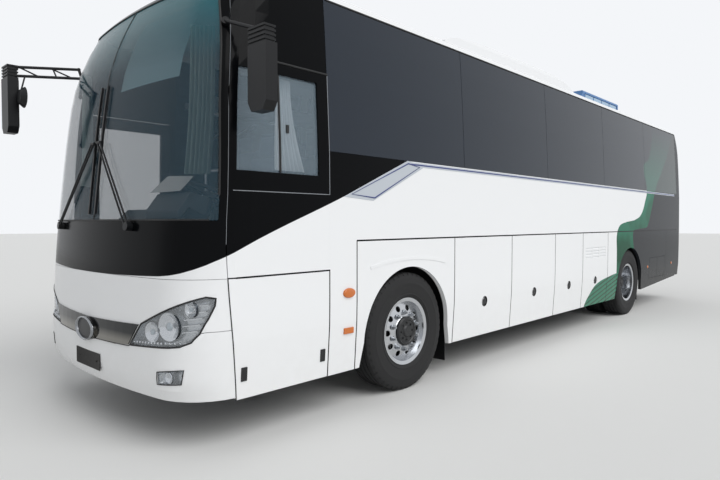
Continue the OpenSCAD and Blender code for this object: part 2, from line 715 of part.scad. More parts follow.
// Luggage flaps, counted from the front on each side. The latch is a knob in a round recess, and the
// last flap has louvres before the batteries
latch_z = 680;
latch_d = 110;
knob_d = 68;
louvre_rows = [4, 3];
louvre_zs = [1003, 1174];
louvre_edge = 90;
module flap(k) {
  middle = (flap_edges[k] + flap_edges[k - 1]) / 2;
  difference() {
    along_x(flap_edges[k] + seam / 2, flap_edges[k - 1] - seam / 2)
      side_section(skirt_z + 2, belt_z - hinge_gap, 0, wall);
    bar_y(middle, latch_z, half(latch_z) - 16, half_w + 5, latch_d);
    if (k == len(flap_edges) - 1) louvres(flap_edges[k] + louvre_edge, flap_edges[k - 1] - louvre_edge);
  }
  bar_y(middle, latch_z, half(latch_z) - 17, half(latch_z) - 3, knob_d);
  flap_barrels(flap_edges[k], flap_edges[k - 1], belt_z - hinge_gap);
}
module louvres(x0, x1) {
  pitch_z = (louvre_zs[1] - louvre_zs[0]) / louvre_rows[0];
  pitch_x = (x1 - x0) / louvre_rows[1];
  for (i = [0 : louvre_rows[0] - 1])
    for (j = [0 : louvre_rows[1] - 1])
      box([x0 + pitch_x * j + 12, x0 + pitch_x * (j + 1) - 12], [half_w - wall - 20, half_w + 5],
        [louvre_zs[0] + pitch_z * i, louvre_zs[0] + pitch_z * (i + 0.55)]);
}
module flap_left(k) {
  chassis() color("whitesmoke") flap(k);
}
module flap_right(k) {
  chassis() color("whitesmoke") mirror([0, 1, 0]) flap(k);
}
module flap_left_1() { flap_left(1); }
module flap_left_2() { flap_left(2); }
module flap_left_3() { flap_left(3); }
module flap_left_4() { flap_left(4); }
module flap_right_1() { flap_right(1); }
module flap_right_2() { flap_right(2); }
module flap_right_3() { flap_right(3); }
module flap_right_4() { flap_right(4); }

// Frame under the floor
rail_y = 430;
rail_w = 80;
rail_z = [760, 900];
plate_t = 30;
bay_floor_z = skirt_z + 30;
spring_y = 600;
spring_d = 230;
module rail(x0, x1) {
  box([x0, x1], [rail_y - rail_w / 2, rail_y + rail_w / 2], rail_z);
}
module crossmember(x) {
  box([x - 40, x + 40], [-half_w + 300, half_w - 300], [rail_z[0] + 20, rail_z[1] - 20]);
}
// Jacking pad under a rail
pad_l = 120;
pad_h = 25;
jack_xs = [600, -wheelbase - 1800];
module jack_pad(x) {
  box([x - pad_l / 2, x + pad_l / 2], [rail_y - rail_w / 2, rail_y + rail_w / 2],
    [rail_z[0] - pad_h, rail_z[0] + 1]);
}
// Floor and bulkheads of the luggage bays
module bay_frame() {
  chassis() color("dimgray") {
    for (k = [0 : len(flap_edges) - 1])
      along_x(flap_edges[k] - plate_t / 2, flap_edges[k] + plate_t / 2)
        cross_section(bay_floor_z, deck_z - deck_t, inside);
    along_x(bay_rear, bay_front) cross_section(bay_floor_z, bay_floor_z + 40, inside);
  }
}
// The left rail runs through to the face, the right one leaves the stairwell free
module front_frame() {
  chassis() color("dimgray") {
    sides() {
      rail(bay_front + plate_t / 2, platform_x - deck_t - slack);
      rail(nose_x - 480, post_back);
      jack_pad(jack_xs[0]);
    }
    rail(bay_front + plate_t / 2, post_back);
    crossmember(nose_x - 260);
    crossmember(platform_x - deck_t - 60);
    // Seats of the front springs
    box([-110, 110], [-spring_y - 100, spring_y + 100], [rail_z[0] + 20, rail_z[1] - 20]);
  }
}
module rear_frame() {
  chassis() color("dimgray") {
    sides() {
      rail(-tail_x + 120, bay_rear - plate_t / 2);
      jack_pad(jack_xs[1]);
    }
    for (x = [-wheelbase + 700, -wheelbase - 700, -wheelbase - 1700, -tail_x + 300]) crossmember(x);
  }
}
module floor_deck() {
  chassis() color("gray") {
    along_x(bay_rear, bay_front) cross_section(deck_z - deck_t, deck_z, inside);
    along_x(tail_seam_x, bay_rear) cross_section(deck_z - deck_t, deck_z, wall + slack);
    along_x(bay_front, platform_x) cross_section(deck_z - deck_t, deck_z, wall + slack);
    // Driver's platform, its riser to the saloon and the steps inside the door
    box([platform_x - deck_t, nose_x - 420], [-100, half_w - wall - 60],
      [cab_floor_z - deck_t, cab_floor_z]);
    difference() {
      box([platform_x - deck_t, platform_x], [-half_w + 120, half_w - wall - 60],
        [door_floor_z, deck_z - deck_t + 1]);
      box([platform_x - deck_t - 1, platform_x + 1],
        [rail_y - rail_w / 2 - slack, rail_y + rail_w / 2 + slack], [rail_z[0] - slack, cab_floor_z - deck_t]);
    }
    box([platform_x - deck_t, nose_x - 500], [-half_w + 120, -100 - step_run],
      [door_floor_z, door_floor_z + deck_t]);
    box([platform_x - deck_t, nose_x - 500], [-100 - step_run, -100],
      [door_floor_z, (door_floor_z + cab_floor_z) / 2]);
    // Riser from the upper step to the platform
    box([platform_x - deck_t, nose_x - 500], [-100, -60], [door_floor_z, cab_floor_z - deck_t + 1]);
  }
}
platform_x = cab_x - 70;
door_floor_z = 400;
step_run = 380;
liner_t = 8;
front_liner_r = 650;
rear_liner_r = 592;
module liner(x, r, y0, y1) {
  difference() {
    bar_y(x, hub_z - 10, y0, y1, 2 * (r + liner_t));
    bar_y(x, hub_z - 10, y0 - 1, y1 + 1, 2 * r);
    box([x - r - 20, x + r + 20], [y0 - 1, y1 + 1], [-200, hub_z - 10]);
  }
}
flap_t = 10;
module wheel_houses() {
  chassis() color([0.15, 0.15, 0.15]) {
    intersection() {
      sides() {
        liner(0, front_liner_r, rail_y + 100, half_w);
        liner(-wheelbase, rear_liner_r, rail_y + 160, half_w);
      }
      along_x(-tail_x, nose_x) cross_section(skirt_z, sill_z, wall + slack);
    }
    // Rubber flaps behind the wheels
    sides() {
      box([-front_liner_r - liner_t - flap_t, -front_liner_r - liner_t],
        [half_w - 380, half_w - 90], [140, hub_z]);
      box([-wheelbase - rear_liner_r - liner_t - flap_t, -wheelbase - rear_liner_r - liner_t],
        [half_w - 680, half_w - 90], [180, hub_z]);
    }
  }
}

// Running gear
wheel_y = front_track / 2;
kingpin_y = kingpin_track / 2;
module tyre(y) {
  translate([0, y, 0]) rotate([-90, 0, 0]) rotate_extrude($fn = 96)
    polygon([
      [seat_d / 2, -rim_half], [seat_d / 2 + 20, -rim_half], [seat_d / 2 + 34, -tyre_w * 0.44],
      [tyre_d * 0.40, -tyre_w / 2], [tyre_d * 0.44, -tyre_w * 0.495], [tyre_d * 0.475, -tyre_w * 0.46],
      [tyre_d / 2 - 6, -tyre_w * 0.42], [tyre_d / 2, -tyre_w * 0.38],
      [tyre_d / 2, tyre_w * 0.38], [tyre_d / 2 - 6, tyre_w * 0.42],
      [tyre_d * 0.475, tyre_w * 0.46], [tyre_d * 0.44, tyre_w * 0.495], [tyre_d * 0.40, tyre_w / 2],
      [seat_d / 2 + 34, tyre_w * 0.44], [seat_d / 2 + 20, rim_half], [seat_d / 2, rim_half]
    ]);
}
rim_t = 14;
rim_half = tyre_w * 0.40;
spindle_d = 96;
// Barrel with a disc at depth from the wheel's middle, and hand holes through the disc
module rim(y, disc_y, hub_r) {
  translate([0, y, 0]) rotate([-90, 0, 0]) difference() {
    rotate_extrude($fn = 96)
      polygon([
        [seat_d / 2 - rim_t, -rim_half], [seat_d / 2 + 18, -rim_half - 8], [seat_d / 2 + 18, -rim_half - slack],
        [seat_d / 2, -rim_half - slack], [seat_d / 2, rim_half + slack], [seat_d / 2 + 18, rim_half + slack],
        [seat_d / 2 + 18, rim_half + 8], [seat_d / 2 - rim_t, rim_half],
        [seat_d / 2 - rim_t, disc_y * 0.55 + 9], [hub_r, disc_y + 9], [hub_r, disc_y - 9],
        [seat_d / 2 - rim_t, disc_y * 0.55 - 9]
      ]);
    for (k = [0 : hand_holes - 1])
      rotate([0, 0, 360 / hand_holes * k]) translate([seat_d / 2 - 75, 0, disc_y - 150])
        cylinder(d = hand_hole_d, h = 300);
  }
}
module hub(y0, y1, r, cap_r) {
  rotate([-90, 0, 0]) difference() {
    union() {
      translate([0, 0, y0]) cylinder(r = r, h = y1 - y0 - 30);
      translate([0, 0, y1 - 30]) cylinder(r1 = r, r2 = cap_r, h = 30);
    }
    translate([0, 0, y0 - 1]) cylinder(d = spindle_d + 2 * slack, h = y1 - y0 - 30);
  }
}
module front_wheel_at() {
  translate([0, wheel_y, hub_z]) children();
}
module rear_wheel_at() {
  translate([-wheelbase, rear_track / 2, hub_z]) children();
}
module rim_front() {
  front_wheel_at() color("silver") {
    rim(0, 95, 138);
    hub(40, 132, 140, 100);
  }
}
module rim_rear() {
  rear_wheel_at() color("silver") {
    rim(0, -twin_gap / 2 + 9, 118);
    rim(-twin_gap, twin_gap / 2 - 9, 118);
    hub(-twin_gap / 2 - 60, 20, 120, 95);
  }
}
module tyre_front_left() { chassis() color("black") front_wheel_at() tyre(0); }
module tyre_front_right() { chassis() color("black") mirror([0, 1, 0]) front_wheel_at() tyre(0); }
module rim_front_left() { chassis() rim_front(); }
module rim_front_right() { chassis() mirror([0, 1, 0]) rim_front(); }
module twin_tyres() {
  rear_wheel_at() {
    tyre(0);
    tyre(-twin_gap);
  }
}
module tyre_rear_left() { chassis() color("black") twin_tyres(); }
module tyre_rear_right() { chassis() color("black") mirror([0, 1, 0]) twin_tyres(); }
module rim_rear_left() { chassis() rim_rear(); }
module rim_rear_right() { chassis() mirror([0, 1, 0]) rim_rear(); }

pin_d = 44;
lug_z = 60;
// End of a steering arm: behind the axle and clear of the tyre's inner face
arm_x = -260;
rod_y = wheel_y - tyre_w / 2 - 25;
module knuckle() {
  color("dimgray") difference() {
    union() {
      for (z = [hub_z - lug_z - 40, hub_z + lug_z])
        translate([0, kingpin_y, z]) cylinder(d = 110, h = 40);
      for (z = [hub_z - lug_z - 40, hub_z + lug_z])
        box([-50, 50], [kingpin_y, kingpin_y + 60], [z, z + 40]);
      box([-50, 50], [kingpin_y + 57, kingpin_y + 75], [hub_z - lug_z - 40, hub_z + lug_z + 40]);
      bar_y(0, hub_z, kingpin_y + 60, wheel_y + 98, spindle_d);
      translate([0, 0, hub_z - lug_z - 40]) linear_extrude(30)
        polygon([
          [0, kingpin_y - 18], [0, kingpin_y + 18], [arm_x - 25, rod_y + 18], [arm_x - 25, rod_y - 18]
        ]);
    }
    translate([0, kingpin_y, hub_z - 200]) cylinder(d = pin_d + 2 * slack, h = 400);
  }
}
module knuckle_left() { chassis() knuckle(); }
module knuckle_right() { chassis() mirror([0, 1, 0]) knuckle(); }
module tie_rod() {
  chassis() color("dimgray") {
    bar_y(arm_x, hub_z - lug_z - 70, -rod_y, rod_y, 36);
    sides() translate([arm_x, rod_y, hub_z - lug_z - 75])
      cylinder(d = 24, h = 35 - slack);
  }
}
module front_axle() {
  chassis() color("dimgray") {
    box([-50, 50], [-kingpin_y + 180, kingpin_y - 180], [hub_z - 100, hub_z - 10]);
    sides() {
      box([-45, 45], [kingpin_y - 260, kingpin_y - 70], [hub_z - 60, hub_z + 40]);
      translate([0, kingpin_y, hub_z - lug_z + 6]) cylinder(d = 100, h = 2 * lug_z - 12);
      box([-40, 40], [kingpin_y - 100, kingpin_y - 30], [hub_z - 50, hub_z + 40]);
      translate([0, kingpin_y, hub_z - lug_z - 45]) cylinder(d = pin_d, h = 2 * lug_z + 90);
      box([-110, 110], [kingpin_y - 440, kingpin_y - 230], [hub_z - 50, hub_z + 40]);
      translate([0, spring_y, hub_z + 40]) cylinder(d = spring_d, h = rail_z[0] + 20 - hub_z - 40);
    }
  }
}
module rear_axle() {
  chassis() color("dimgray") translate([-wheelbase, 0, 0]) {
    bar_y(0, hub_z, -rear_track / 2 + 12, rear_track / 2 - 12, spindle_d);
    bar_y(0, hub_z, -500, 500, 170);
    translate([0, 0, hub_z]) sphere(d = 420);
    bar_y(0, hub_z, -230, -60, 380);
    sides() {
      box([-560, 560], [rail_y - 50, rail_y + 50], [hub_z - 130, hub_z - 50]);
      for (x = [-430, 430])
        translate([x, rail_y, hub_z - 50]) cylinder(d = spring_d, h = rail_z[0] - hub_z + 50);
    }
  }
}
module battery_block() {
  chassis() color("slategray") {
    box([flap_edges[4] + 60, flap_edges[3] - 60], [-1120, 1120], [bay_floor_z + 40, 1250]);
    box([-tail_x + 420, -wheelbase - 820], [-1080, 1080], [rail_z[1], 1270]);
  }
}

// Inside
module driver_seat() {
  chassis() color("beige") {
    along_y(430, 890)
      polygon([
        [1140, 1340], [1600, 1340], [1620, 1400], [1600, 1450], [1260, 1440], [1230, 1480],
        [1140, 2230], [1060, 2250], [1040, 2220], [1110, 1500]
      ]);
    box([1250, 1500], [560, 760], [cab_floor_z, 1350]);
  }
}
seat_w = 450;
aisle_y = 265;
module seat() {
  along_y(0, seat_w)
    polygon([
      [60, 330], [420, 340], [450, 380], [440, 430], [400, 455], [110, 440], [60, 480], [-30, 960],
      [-70, 990], [-120, 970], [-110, 900], [-40, 430], [0, 350]
    ]);
  // Head rest, and the foot under the cushion
  along_y(70, seat_w - 70)
    polygon([[-45, 970], [-55, 1110], [-80, 1140], [-125, 1120], [-128, 1000], [-110, 960]]);
  along_y(150, seat_w - 150) polygon([[60, 0], [300, 0], [260, 345], [120, 345]]);
}
module passenger_seats() {
  chassis() color("steelblue") sides()
    for (k = [0 : seat_rows - 1])
      for (n = [0, 1])
        translate([300 - seat_pitch * k, aisle_y + (seat_w + 20) * n, deck_z]) seat();
}
// Plane of the steering wheel: its middle, its tilt, and the bore of the column under it
wheel_centre = [1640, 620, 1720];
wheel_tilt = 25;
shaft_d = 40;
shaft_l = 150;
module on_column() {
  translate(wheel_centre) rotate([0, -wheel_tilt, 0]) children();
}
module dashboard() {
  chassis() color([0.2, 0.2, 0.2]) difference() {
    union() {
      along_y(-100, 880)
        polygon([
          [1750, cab_floor_z], [1830, 1560], [1960, 1620], [2090, 1500], [2090, cab_floor_z + 200],
          [1900, cab_floor_z]
        ]);
      on_column() translate([0, 0, -440]) cylinder(d = 90, h = 390);
    }
    on_column() translate([0, 0, -shaft_l - slack]) cylinder(d = shaft_d + 2 * slack, h = shaft_l);
  }
}
module steering_wheel() {
  chassis() color([0.1, 0.1, 0.1]) on_column() {
    rotate_extrude($fn = 64) translate([215, 0]) circle(d = 30, $fn = 24);
    cylinder(d = 110, h = 40, center = true);
    for (a = [0, 120, 240])
      rotate([0, 0, a]) translate([50, -14, -8]) cube([155, 28, 16]);
    translate([0, 0, -shaft_l]) cylinder(d = shaft_d, h = shaft_l - 10);
  }
}

// Outside fittings
module small_lamps() {
  chassis() sides() {
    color("orange") bar_y(795, 956, half_w + slack, half_w + 14, 70);
    color("orange") along_x(760, 822) side_section(635, 671, -10 - slack, 10);
    // Upright lamps on the tail, beside its hatch
    color("red") tail()
      panel(rear_end, [tail_lamp_z, tail_lamp_z + 420], [2],
        function (z) [run_y(rear_end, z, hatch_half + 30), run_y(rear_end, z, hatch_half + 112)],
        [1], -2 * slack, 14);
  }
}
tail_lamp_z = 960;
// Pad on the skin of an end, square to it, and the point that a bar starts from
function pad_point(z, s, out) = skin(front_end, z, s, out);
module pad(z, s, d, h) {
  arm(pad_point(z, s, 2 * slack), pad_point(z, s, h), d);
}
module arm(a, b, d) {
  v = b - a;
  translate(a) rotate([0, acos(v[2] / norm(v)), atan2(v[1], v[0])]) cylinder(d = d, h = norm(v));
}
function between(a, b, t) = a + (b - a) * t;
// Head of a mirror with cut corners, from x0 to x1, with a ribbed cap above it
head_w = 190;
cut = 36;
module mirror_head(x0, x1, z0, z1) {
  inner_y = mirror_out - head_w;
  along_x(x0, x1)
    polygon([
      [inner_y + cut, z0], [mirror_out - cut, z0], [mirror_out, z0 + 1.6 * cut], [mirror_out, z1],
      [inner_y, z1], [inner_y, z0 + 1.6 * cut]
    ]);
  box([x0 + 8, x1 - 8], [inner_y + 10, mirror_out - 20], [z1 - 1, z1 + cap_h]);
  for (k = [0 : 3])
    box([x0, x1], [inner_y + 4, mirror_out - 14], [z1 + 14 + cap_h * k / 4, z1 + 28 + cap_h * k / 4]);
}
cap_h = 110;
arm_d = 26;
strut_d = 14;
head_t = 90;
// Long arm on the right: a post on two pads, and a lattice of two bars out to the head
right_head_zs = [2340, 2845];
lattice_h = 80;
module mirror_right() {
  z1 = right_head_zs[1];
  x1 = nose_x + mirror_ahead;
  out_top = [x1 - head_t / 2, mirror_out - head_w + 30, z1 + cap_h - 15];
  out_low = out_top - [0, 0, lattice_h];
  post_low = pad_point(screen_row(7), pillar_run(screen_row(7)), 60);
  post_knee = pad_point(screen_row(8), pillar_run(screen_row(8)), 75);
  post_top = post_knee + [20, 20, 85];
  chassis() color("black") mirror([0, 1, 0]) {
    for (z = [screen_row(7), screen_row(8)]) {
      pad(z, pillar_run(z), 52, 22);
      arm(pad_point(z, pillar_run(z), 15), pad_point(z, pillar_run(z), 70), arm_d - 4);
    }
    // Welded balls where the tubes of the post and of the bars meet
    for (p = [post_low, post_knee, post_top])
      translate(p) sphere(d = arm_d + 8);
    arm(post_low, post_knee, arm_d);
    arm(post_knee, post_top, arm_d);
    arm(post_top, out_top, arm_d);
    arm(post_knee, out_low, arm_d);
    for (t = [[0.4, 0.37], [0.43, 0.14], [0.9, 0.62]])
      arm(between(post_top, out_top, t[0]), between(post_knee, out_low, t[1]), strut_d);
    mirror_head(x1 - head_t, x1, right_head_zs[0], z1);
    // Round wide-angle mirror inside the head, on a stem from the lower bar
    translate([x1 - 110, mirror_out - head_w - 85, z1 - 190]) rotate([0, 90, 0])
      cylinder(d1 = 190, d2 = 120, h = 45);
    arm([x1 - 85, mirror_out - head_w - 85, z1 - 130], between(post_knee, out_low, 0.82), strut_d);
  }
}
// Short arm on the left, with the head hanging behind the pillar
left_head_zs = [2220, 2640];
left_head_x = 1780;
module mirror_left() {
  z = screen_row(8);
  chassis() color("black") {
    pad(z, pillar_run(z), 52, 30);
    arm(pad_point(z, pillar_run(z), 22),
      [left_head_x + head_t / 2, mirror_out - head_w / 2, left_head_zs[1] + cap_h - 20], arm_d);
    mirror_head(left_head_x, left_head_x + head_t, left_head_zs[0], left_head_zs[1]);
  }
}

// Wipers: a double arm from each pad to an upright blade beside the middle of the screen
wiper_ys = [-730, 580];
wiper_z = 1490;
blade_zs = [1580, 2560];
blade_run = 55;
wiper_out = 38;
module wipers() {
  meet_z = between(blade_zs[0], blade_zs[1], 0.55);
  chassis() color([0.12, 0.12, 0.12])
    for (y = wiper_ys) {
      run = sign(y) * run_y(front_end, wiper_z, abs(y));
      blade = sign(y) * blade_run;
      pad(wiper_z, run, 60, wiper_out + 8);
      for (d = [-22, 22])
        arm(pad_point(wiper_z, run + d, wiper_out - 4), pad_point(meet_z, blade + d, wiper_out), strut_d);
      arm(pad_point(meet_z, blade - 30, wiper_out), pad_point(meet_z, blade + 30, wiper_out), 20);
      arm(pad_point(meet_z, blade, wiper_out + 4), pad_point(meet_z, blade, 9), 20);
      panel(front_end, blade_zs, [6], function (z) [blade - 9, blade + 9], [1], -5, 22);
    }
}
cooler_height = 150;
// Place of the roof units, and the fairing seen from the side: shares of its length and its height
ac_front_x = -1000;
unit_gap = 300;
cooler_x = ac_front_x - ac_length - unit_gap;
ac_profile = [
  [0, 0.24], [0.03, 0.45], [0.07, 0.62], [0.15, 0.78], [0.3, 0.92], [0.5, 1], [0.62, 1], [0.78, 0.88],
  [0.92, 0.56], [1, 0.17]
];
ac_half = 930;
cooler_half = 900;
// Section of a box that sits down on the crown, to y either side
function crown_z(y) =
  lookup(y, [for (k = [len(crown_zs) - 1 : -1 : 0]) [half(crown_zs[k]), crown_zs[k]]]);
module roof_box(y, height, shoulder) {
  ys = [y, for (z = crown_zs) if (half(z) < y - 1) half(z)];
  polygon(concat(
    [for (v = ys) [v, crown_z(v) + slack]],
    [for (k = [len(ys) - 1 : -1 : 0]) [-ys[k], crown_z(ys[k]) + slack]],
    [for (p = shoulder) [-y + p[0], roof_z + height - p[1]]],
    [for (k = [len(shoulder) - 1 : -1 : 0]) [y - shoulder[k][0], roof_z + height - shoulder[k][1]]]
  ));
}
module roof_ac() {
  chassis() color("whitesmoke") intersection() {
    along_x(ac_front_x - ac_length, ac_front_x)
      roof_box(ac_half, ac_height, [[0, 75], [12, 34], [45, 10], [120, 0]]);
    along_y(-ac_half, ac_half)
      polygon(concat(
        [[ac_front_x - ac_length, roof_z - 100], [ac_front_x, roof_z - 100]],
        [for (p = ac_profile) [ac_front_x - ac_length * p[0], roof_z + ac_height * p[1]]]
      ));
  }
}
module roof_cooler() {
  chassis() color("steelblue") difference() {
    intersection() {
      along_x(cooler_x - cooler_length, cooler_x)
        roof_box(cooler_half, cooler_height, [[0, 20], [20, 0]]);
      // The front end leans back
      along_y(-cooler_half, cooler_half)
        polygon([
          [cooler_x, roof_z - 100], [cooler_x, roof_z], [cooler_x - 130, roof_z + cooler_height],
          [cooler_x - cooler_length, roof_z + cooler_height], [cooler_x - cooler_length, roof_z - 100]
        ]);
    }
    // Recessed panels between the rails of its sides, and fan wells in its top
    sides() box([cooler_x - cooler_length + 50, cooler_x - 170], [cooler_half - 14, cooler_half + 1],
      [roof_z + 12, roof_z + cooler_height - 42]);
    for (k = [0 : 2])
      translate([cooler_x - 420 - 420 * k, 0, roof_z + cooler_height - 30]) cylinder(d = 340, h = 31);
  }
}

bay_frame();
front_frame();
rear_frame();
floor_deck();
wheel_houses();
side_wall_left();
side_wall_right();
cab_side_left();
cab_side_right();
window_frame_left();
window_frame_right();
cabin_glass();
front_mask();
windscreen();
nose_panel();
front_bumper();
headlamps();
grille_bar();
face_frame();
front_dome();
roof();
rear_wall();
rear_bumper();
small_lamps();
mirror_left();
mirror_right();
wipers();
roof_ac();
roof_cooler();
front_axle();
rear_axle();
battery_block();
driver_seat();
passenger_seats();
dashboard();
door_leaf();
door_glass();
service_door_left();
flap_left_1();
flap_left_2();
flap_left_3();
flap_left_4();
flap_right_1();
flap_right_2();
flap_right_3();
flap_right_4();
rear_hatch();
steering_wheel();
knuckle_left();
knuckle_right();
tie_rod();
tyre_front_left();
tyre_front_right();
rim_front_left();
rim_front_right();
tyre_rear_left();
tyre_rear_right();
rim_rear_left();
rim_rear_right();
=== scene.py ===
# %% [markdown]
# # Dressing an airport coach
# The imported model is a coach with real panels, glass, doors and wheels. This script gives every surface
# its finish and adds the small things that a coach has: tyres with ribs, wheel nuts, lamp bowls, seat
# pads, latches and trim. Everything is in metres, with the ground at z = 0 and the nose towards +X.

import json
import math

import bmesh
import bpy
from mathutils import Matrix, Vector
from mathutils.bvhtree import BVHTree


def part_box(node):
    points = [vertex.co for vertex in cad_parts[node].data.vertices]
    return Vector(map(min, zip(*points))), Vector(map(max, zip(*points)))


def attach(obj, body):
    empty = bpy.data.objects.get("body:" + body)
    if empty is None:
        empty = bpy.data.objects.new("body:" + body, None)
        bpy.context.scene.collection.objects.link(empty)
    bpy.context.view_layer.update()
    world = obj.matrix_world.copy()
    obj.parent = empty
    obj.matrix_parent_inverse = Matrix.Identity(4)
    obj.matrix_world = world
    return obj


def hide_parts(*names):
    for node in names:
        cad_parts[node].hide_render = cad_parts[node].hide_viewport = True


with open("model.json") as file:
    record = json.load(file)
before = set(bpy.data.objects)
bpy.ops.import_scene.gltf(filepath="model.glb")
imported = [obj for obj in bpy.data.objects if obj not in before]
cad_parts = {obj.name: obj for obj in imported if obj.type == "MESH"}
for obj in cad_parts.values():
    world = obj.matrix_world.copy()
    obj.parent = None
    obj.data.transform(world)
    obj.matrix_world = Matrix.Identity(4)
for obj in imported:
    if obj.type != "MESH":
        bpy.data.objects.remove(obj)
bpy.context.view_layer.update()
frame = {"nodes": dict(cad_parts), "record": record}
nodes = frame["nodes"]
print("frame loaded,", len(nodes), "nodes")

# %% [markdown]
# The places of the axles drive most of what follows, so they are read from the wheels themselves and
# not typed in again.

# %% Driving sizes
def middle(node):
    """The middle of a node's box."""
    low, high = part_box(node)
    return (Vector(low) + Vector(high)) / 2


FRONT_X = middle("tyre_front_left").x
REAR_X = middle("tyre_rear_left").x
AXLE_Z = middle("tyre_front_left").z
TYRE_R = AXLE_Z
# The seam between the luggage flaps and the side wall above them
BELT_Z = 1.375
print("axles at", round(FRONT_X, 3), round(REAR_X, 3))

# %% [markdown]
# ## Camera
# The photograph was taken from the front left at eye height, with a wide phone lens. A real camera at
# that place gives the same perspective, so the near corner looms and the tail runs away.

# %% Camera
CAMERA_AT = Vector((FRONT_X + 4.0313, 4.4584, 1.5228))
CAMERA_YAW = math.radians(223.405)
CAMERA_PITCH = math.radians(-1.81)
LENS_MM = 28.46

camera = bpy.data.objects.new("camera", bpy.data.cameras.new("camera"))
bpy.context.scene.collection.objects.link(camera)
heading = Vector((
    math.cos(CAMERA_YAW) * math.cos(CAMERA_PITCH),
    math.sin(CAMERA_YAW) * math.cos(CAMERA_PITCH),
    math.sin(CAMERA_PITCH),
))
camera.location = CAMERA_AT
camera.rotation_euler = heading.to_track_quat("-Z", "Y").to_euler()
camera.data.lens = LENS_MM
camera.data.sensor_width = 36
camera.data.clip_end = 300
bpy.context.scene.camera = camera
bpy.context.scene.view_settings.view_transform = "Standard"
print("camera", round(CAMERA_AT.z, 2), "m above the ground, lens", LENS_MM, "mm")

# %% [markdown]
# ## Node helper
# A material is a small graph. One function adds a node, sets its properties and fills its inputs: an
# input that is given another node's output becomes a link, and anything else becomes its value. Patterns
# read the Object coordinates, which are metres here, because every piece sits at the origin.

# %% Helpers for materials
def srgb(code):
    """An sRGB hex colour as linear RGBA."""
    parts = [int(code[k : k + 2], 16) / 255 for k in (1, 3, 5)]
    return [p / 12.92 if p <= 0.04045 else ((p + 0.055) / 1.055) ** 2.4 for p in parts] + [1]


def add(tree, kind, inputs=(), out=0, **settings):
    """A node with its settings and its inputs, by order or by name. Returns one of its outputs."""
    node = tree.nodes.new(kind)
    for name, value in settings.items():
        setattr(node, name, value)
    for name, value in inputs.items() if isinstance(inputs, dict) else enumerate(inputs):
        if isinstance(value, bpy.types.NodeSocket):
            tree.links.new(value, node.inputs[name])
        else:
            node.inputs[name].default_value = value
    return node.outputs[out]


def new_material(name, **values):
    """A material with one Principled shader. Returns the material, its tree and the shader."""
    material = bpy.data.materials.new(name)
    material.use_nodes = True
    tree = material.node_tree
    shader = tree.nodes["Principled BSDF"]
    for key, value in values.items():
        label = key.replace("_", " ")
        shader.inputs[label].default_value = srgb(value) if isinstance(value, str) else value
    return material, tree, shader


def feed(tree, shader, **sockets):
    """Links sockets into the shader by the names of its inputs."""
    for key, socket in sockets.items():
        tree.links.new(socket, shader.inputs[key.replace("_", " ")])


def place(tree):
    """X, Y and Z of the surface point, in metres."""
    point = add(tree, "ShaderNodeTexCoord", out="Object")
    return add(tree, "ShaderNodeSeparateXYZ", (point,)).node.outputs


def speckle(tree, size_mm, detail=2.0):
    """Noise whose grain is about size_mm across."""
    point = add(tree, "ShaderNodeTexCoord", out="Object")
    return add(tree, "ShaderNodeTexNoise", {"Vector": point, "Scale": 1000 / size_mm, "Detail": detail})


def coats(tree, ground, *layers):
    """A ground colour with others laid over it, each given as its share and its colour."""
    for share, colour in layers:
        ground = add(tree, "ShaderNodeMix", {0: share, 6: ground, 7: colour}, 2, data_type="RGBA")
    return ground


print("material helpers ready")

# %% [markdown]
# ## Paint and livery
# The body is gloss coach enamel: an even colour under a hard clear coat, with a faint orange peel. The
# livery is sprayed and stuck on in big plain fields: white along the side, black round the screen and
# the driver's window, and at the tail a green wave before dark grey. Each edge between two fields is a
# curve, either a height for each length along the bus or a length for each height. A Float Curve node
# holds such an edge, and comparing it with the point's own place tells which side the point is on.

# %% Colours and edges of the livery
WHITE = srgb("#f1f2f3")
BLACK = srgb("#060709")
GREEN_DARK = srgb("#08472f")
GREEN_LIGHT = srgb("#23795e")
GREY = srgb("#2b2e32")
ROAD_DUST = srgb("#b9b2a4")

# The coloured fields end under the white roof, and the black one also behind the driver's window
ROOF_EDGE_Z = 3.24
BLACK_BACK = -0.02
# Lower edge of the black field: distance from the front axle, height
BLACK_EDGE = [
    (-0.05, 2.10), (0.031, 2.068), (0.846, 1.724), (1.664, 1.410), (1.886, 1.313), (1.992, 1.267),
    (2.07, 1.231), (2.13, 1.205), (2.19, 1.180), (2.248, 1.161), (2.33, 1.142),
]
# Front edge of the green wave: height, distance from the front axle
GREEN_EDGE = [
    (0.20, -5.17), (1.08, -5.163), (1.31, -5.154), (1.44, -5.24), (1.52, -5.56), (1.56, -6.00),
    (1.68, -6.34), (1.87, -6.50), (2.07, -6.60), (2.48, -6.47), (2.61, -6.74), (3.16, -7.07), (3.60, -7.2),
]
# Front edge of the grey field: height, distance
GREY_EDGE = [
    (0.20, -5.30), (1.00, -5.94), (1.38, -5.93), (1.43, -6.60), (1.73, -6.85), (2.09, -7.07),
    (2.50, -7.55), (3.00, -8.10), (3.60, -8.6),
]
# Upper edge of the green wedge on the skirt ahead of the rear wheel: distance, height
WEDGE_EDGE = [(-5.20, 0.725), (-4.91, 0.70), (-4.37, 0.61), (-4.14, 0.48), (-3.99, 0.35), (-3.95, 0.20)]
WEDGE_BACK, WEDGE_FRONT = -5.3, -3.97
print("livery edges drawn with", len(BLACK_EDGE + GREEN_EDGE + GREY_EDGE + WEDGE_EDGE), "points")

# %% [markdown]
# A mask is a number that is 1 on a field and 0 off it. Taking one length from another and multiplying
# the gap gives a mask whose edge is a few millimetres soft, as a masked paint edge is. Masks are joined
# with a product where both have to hold, and with a maximum where either does.

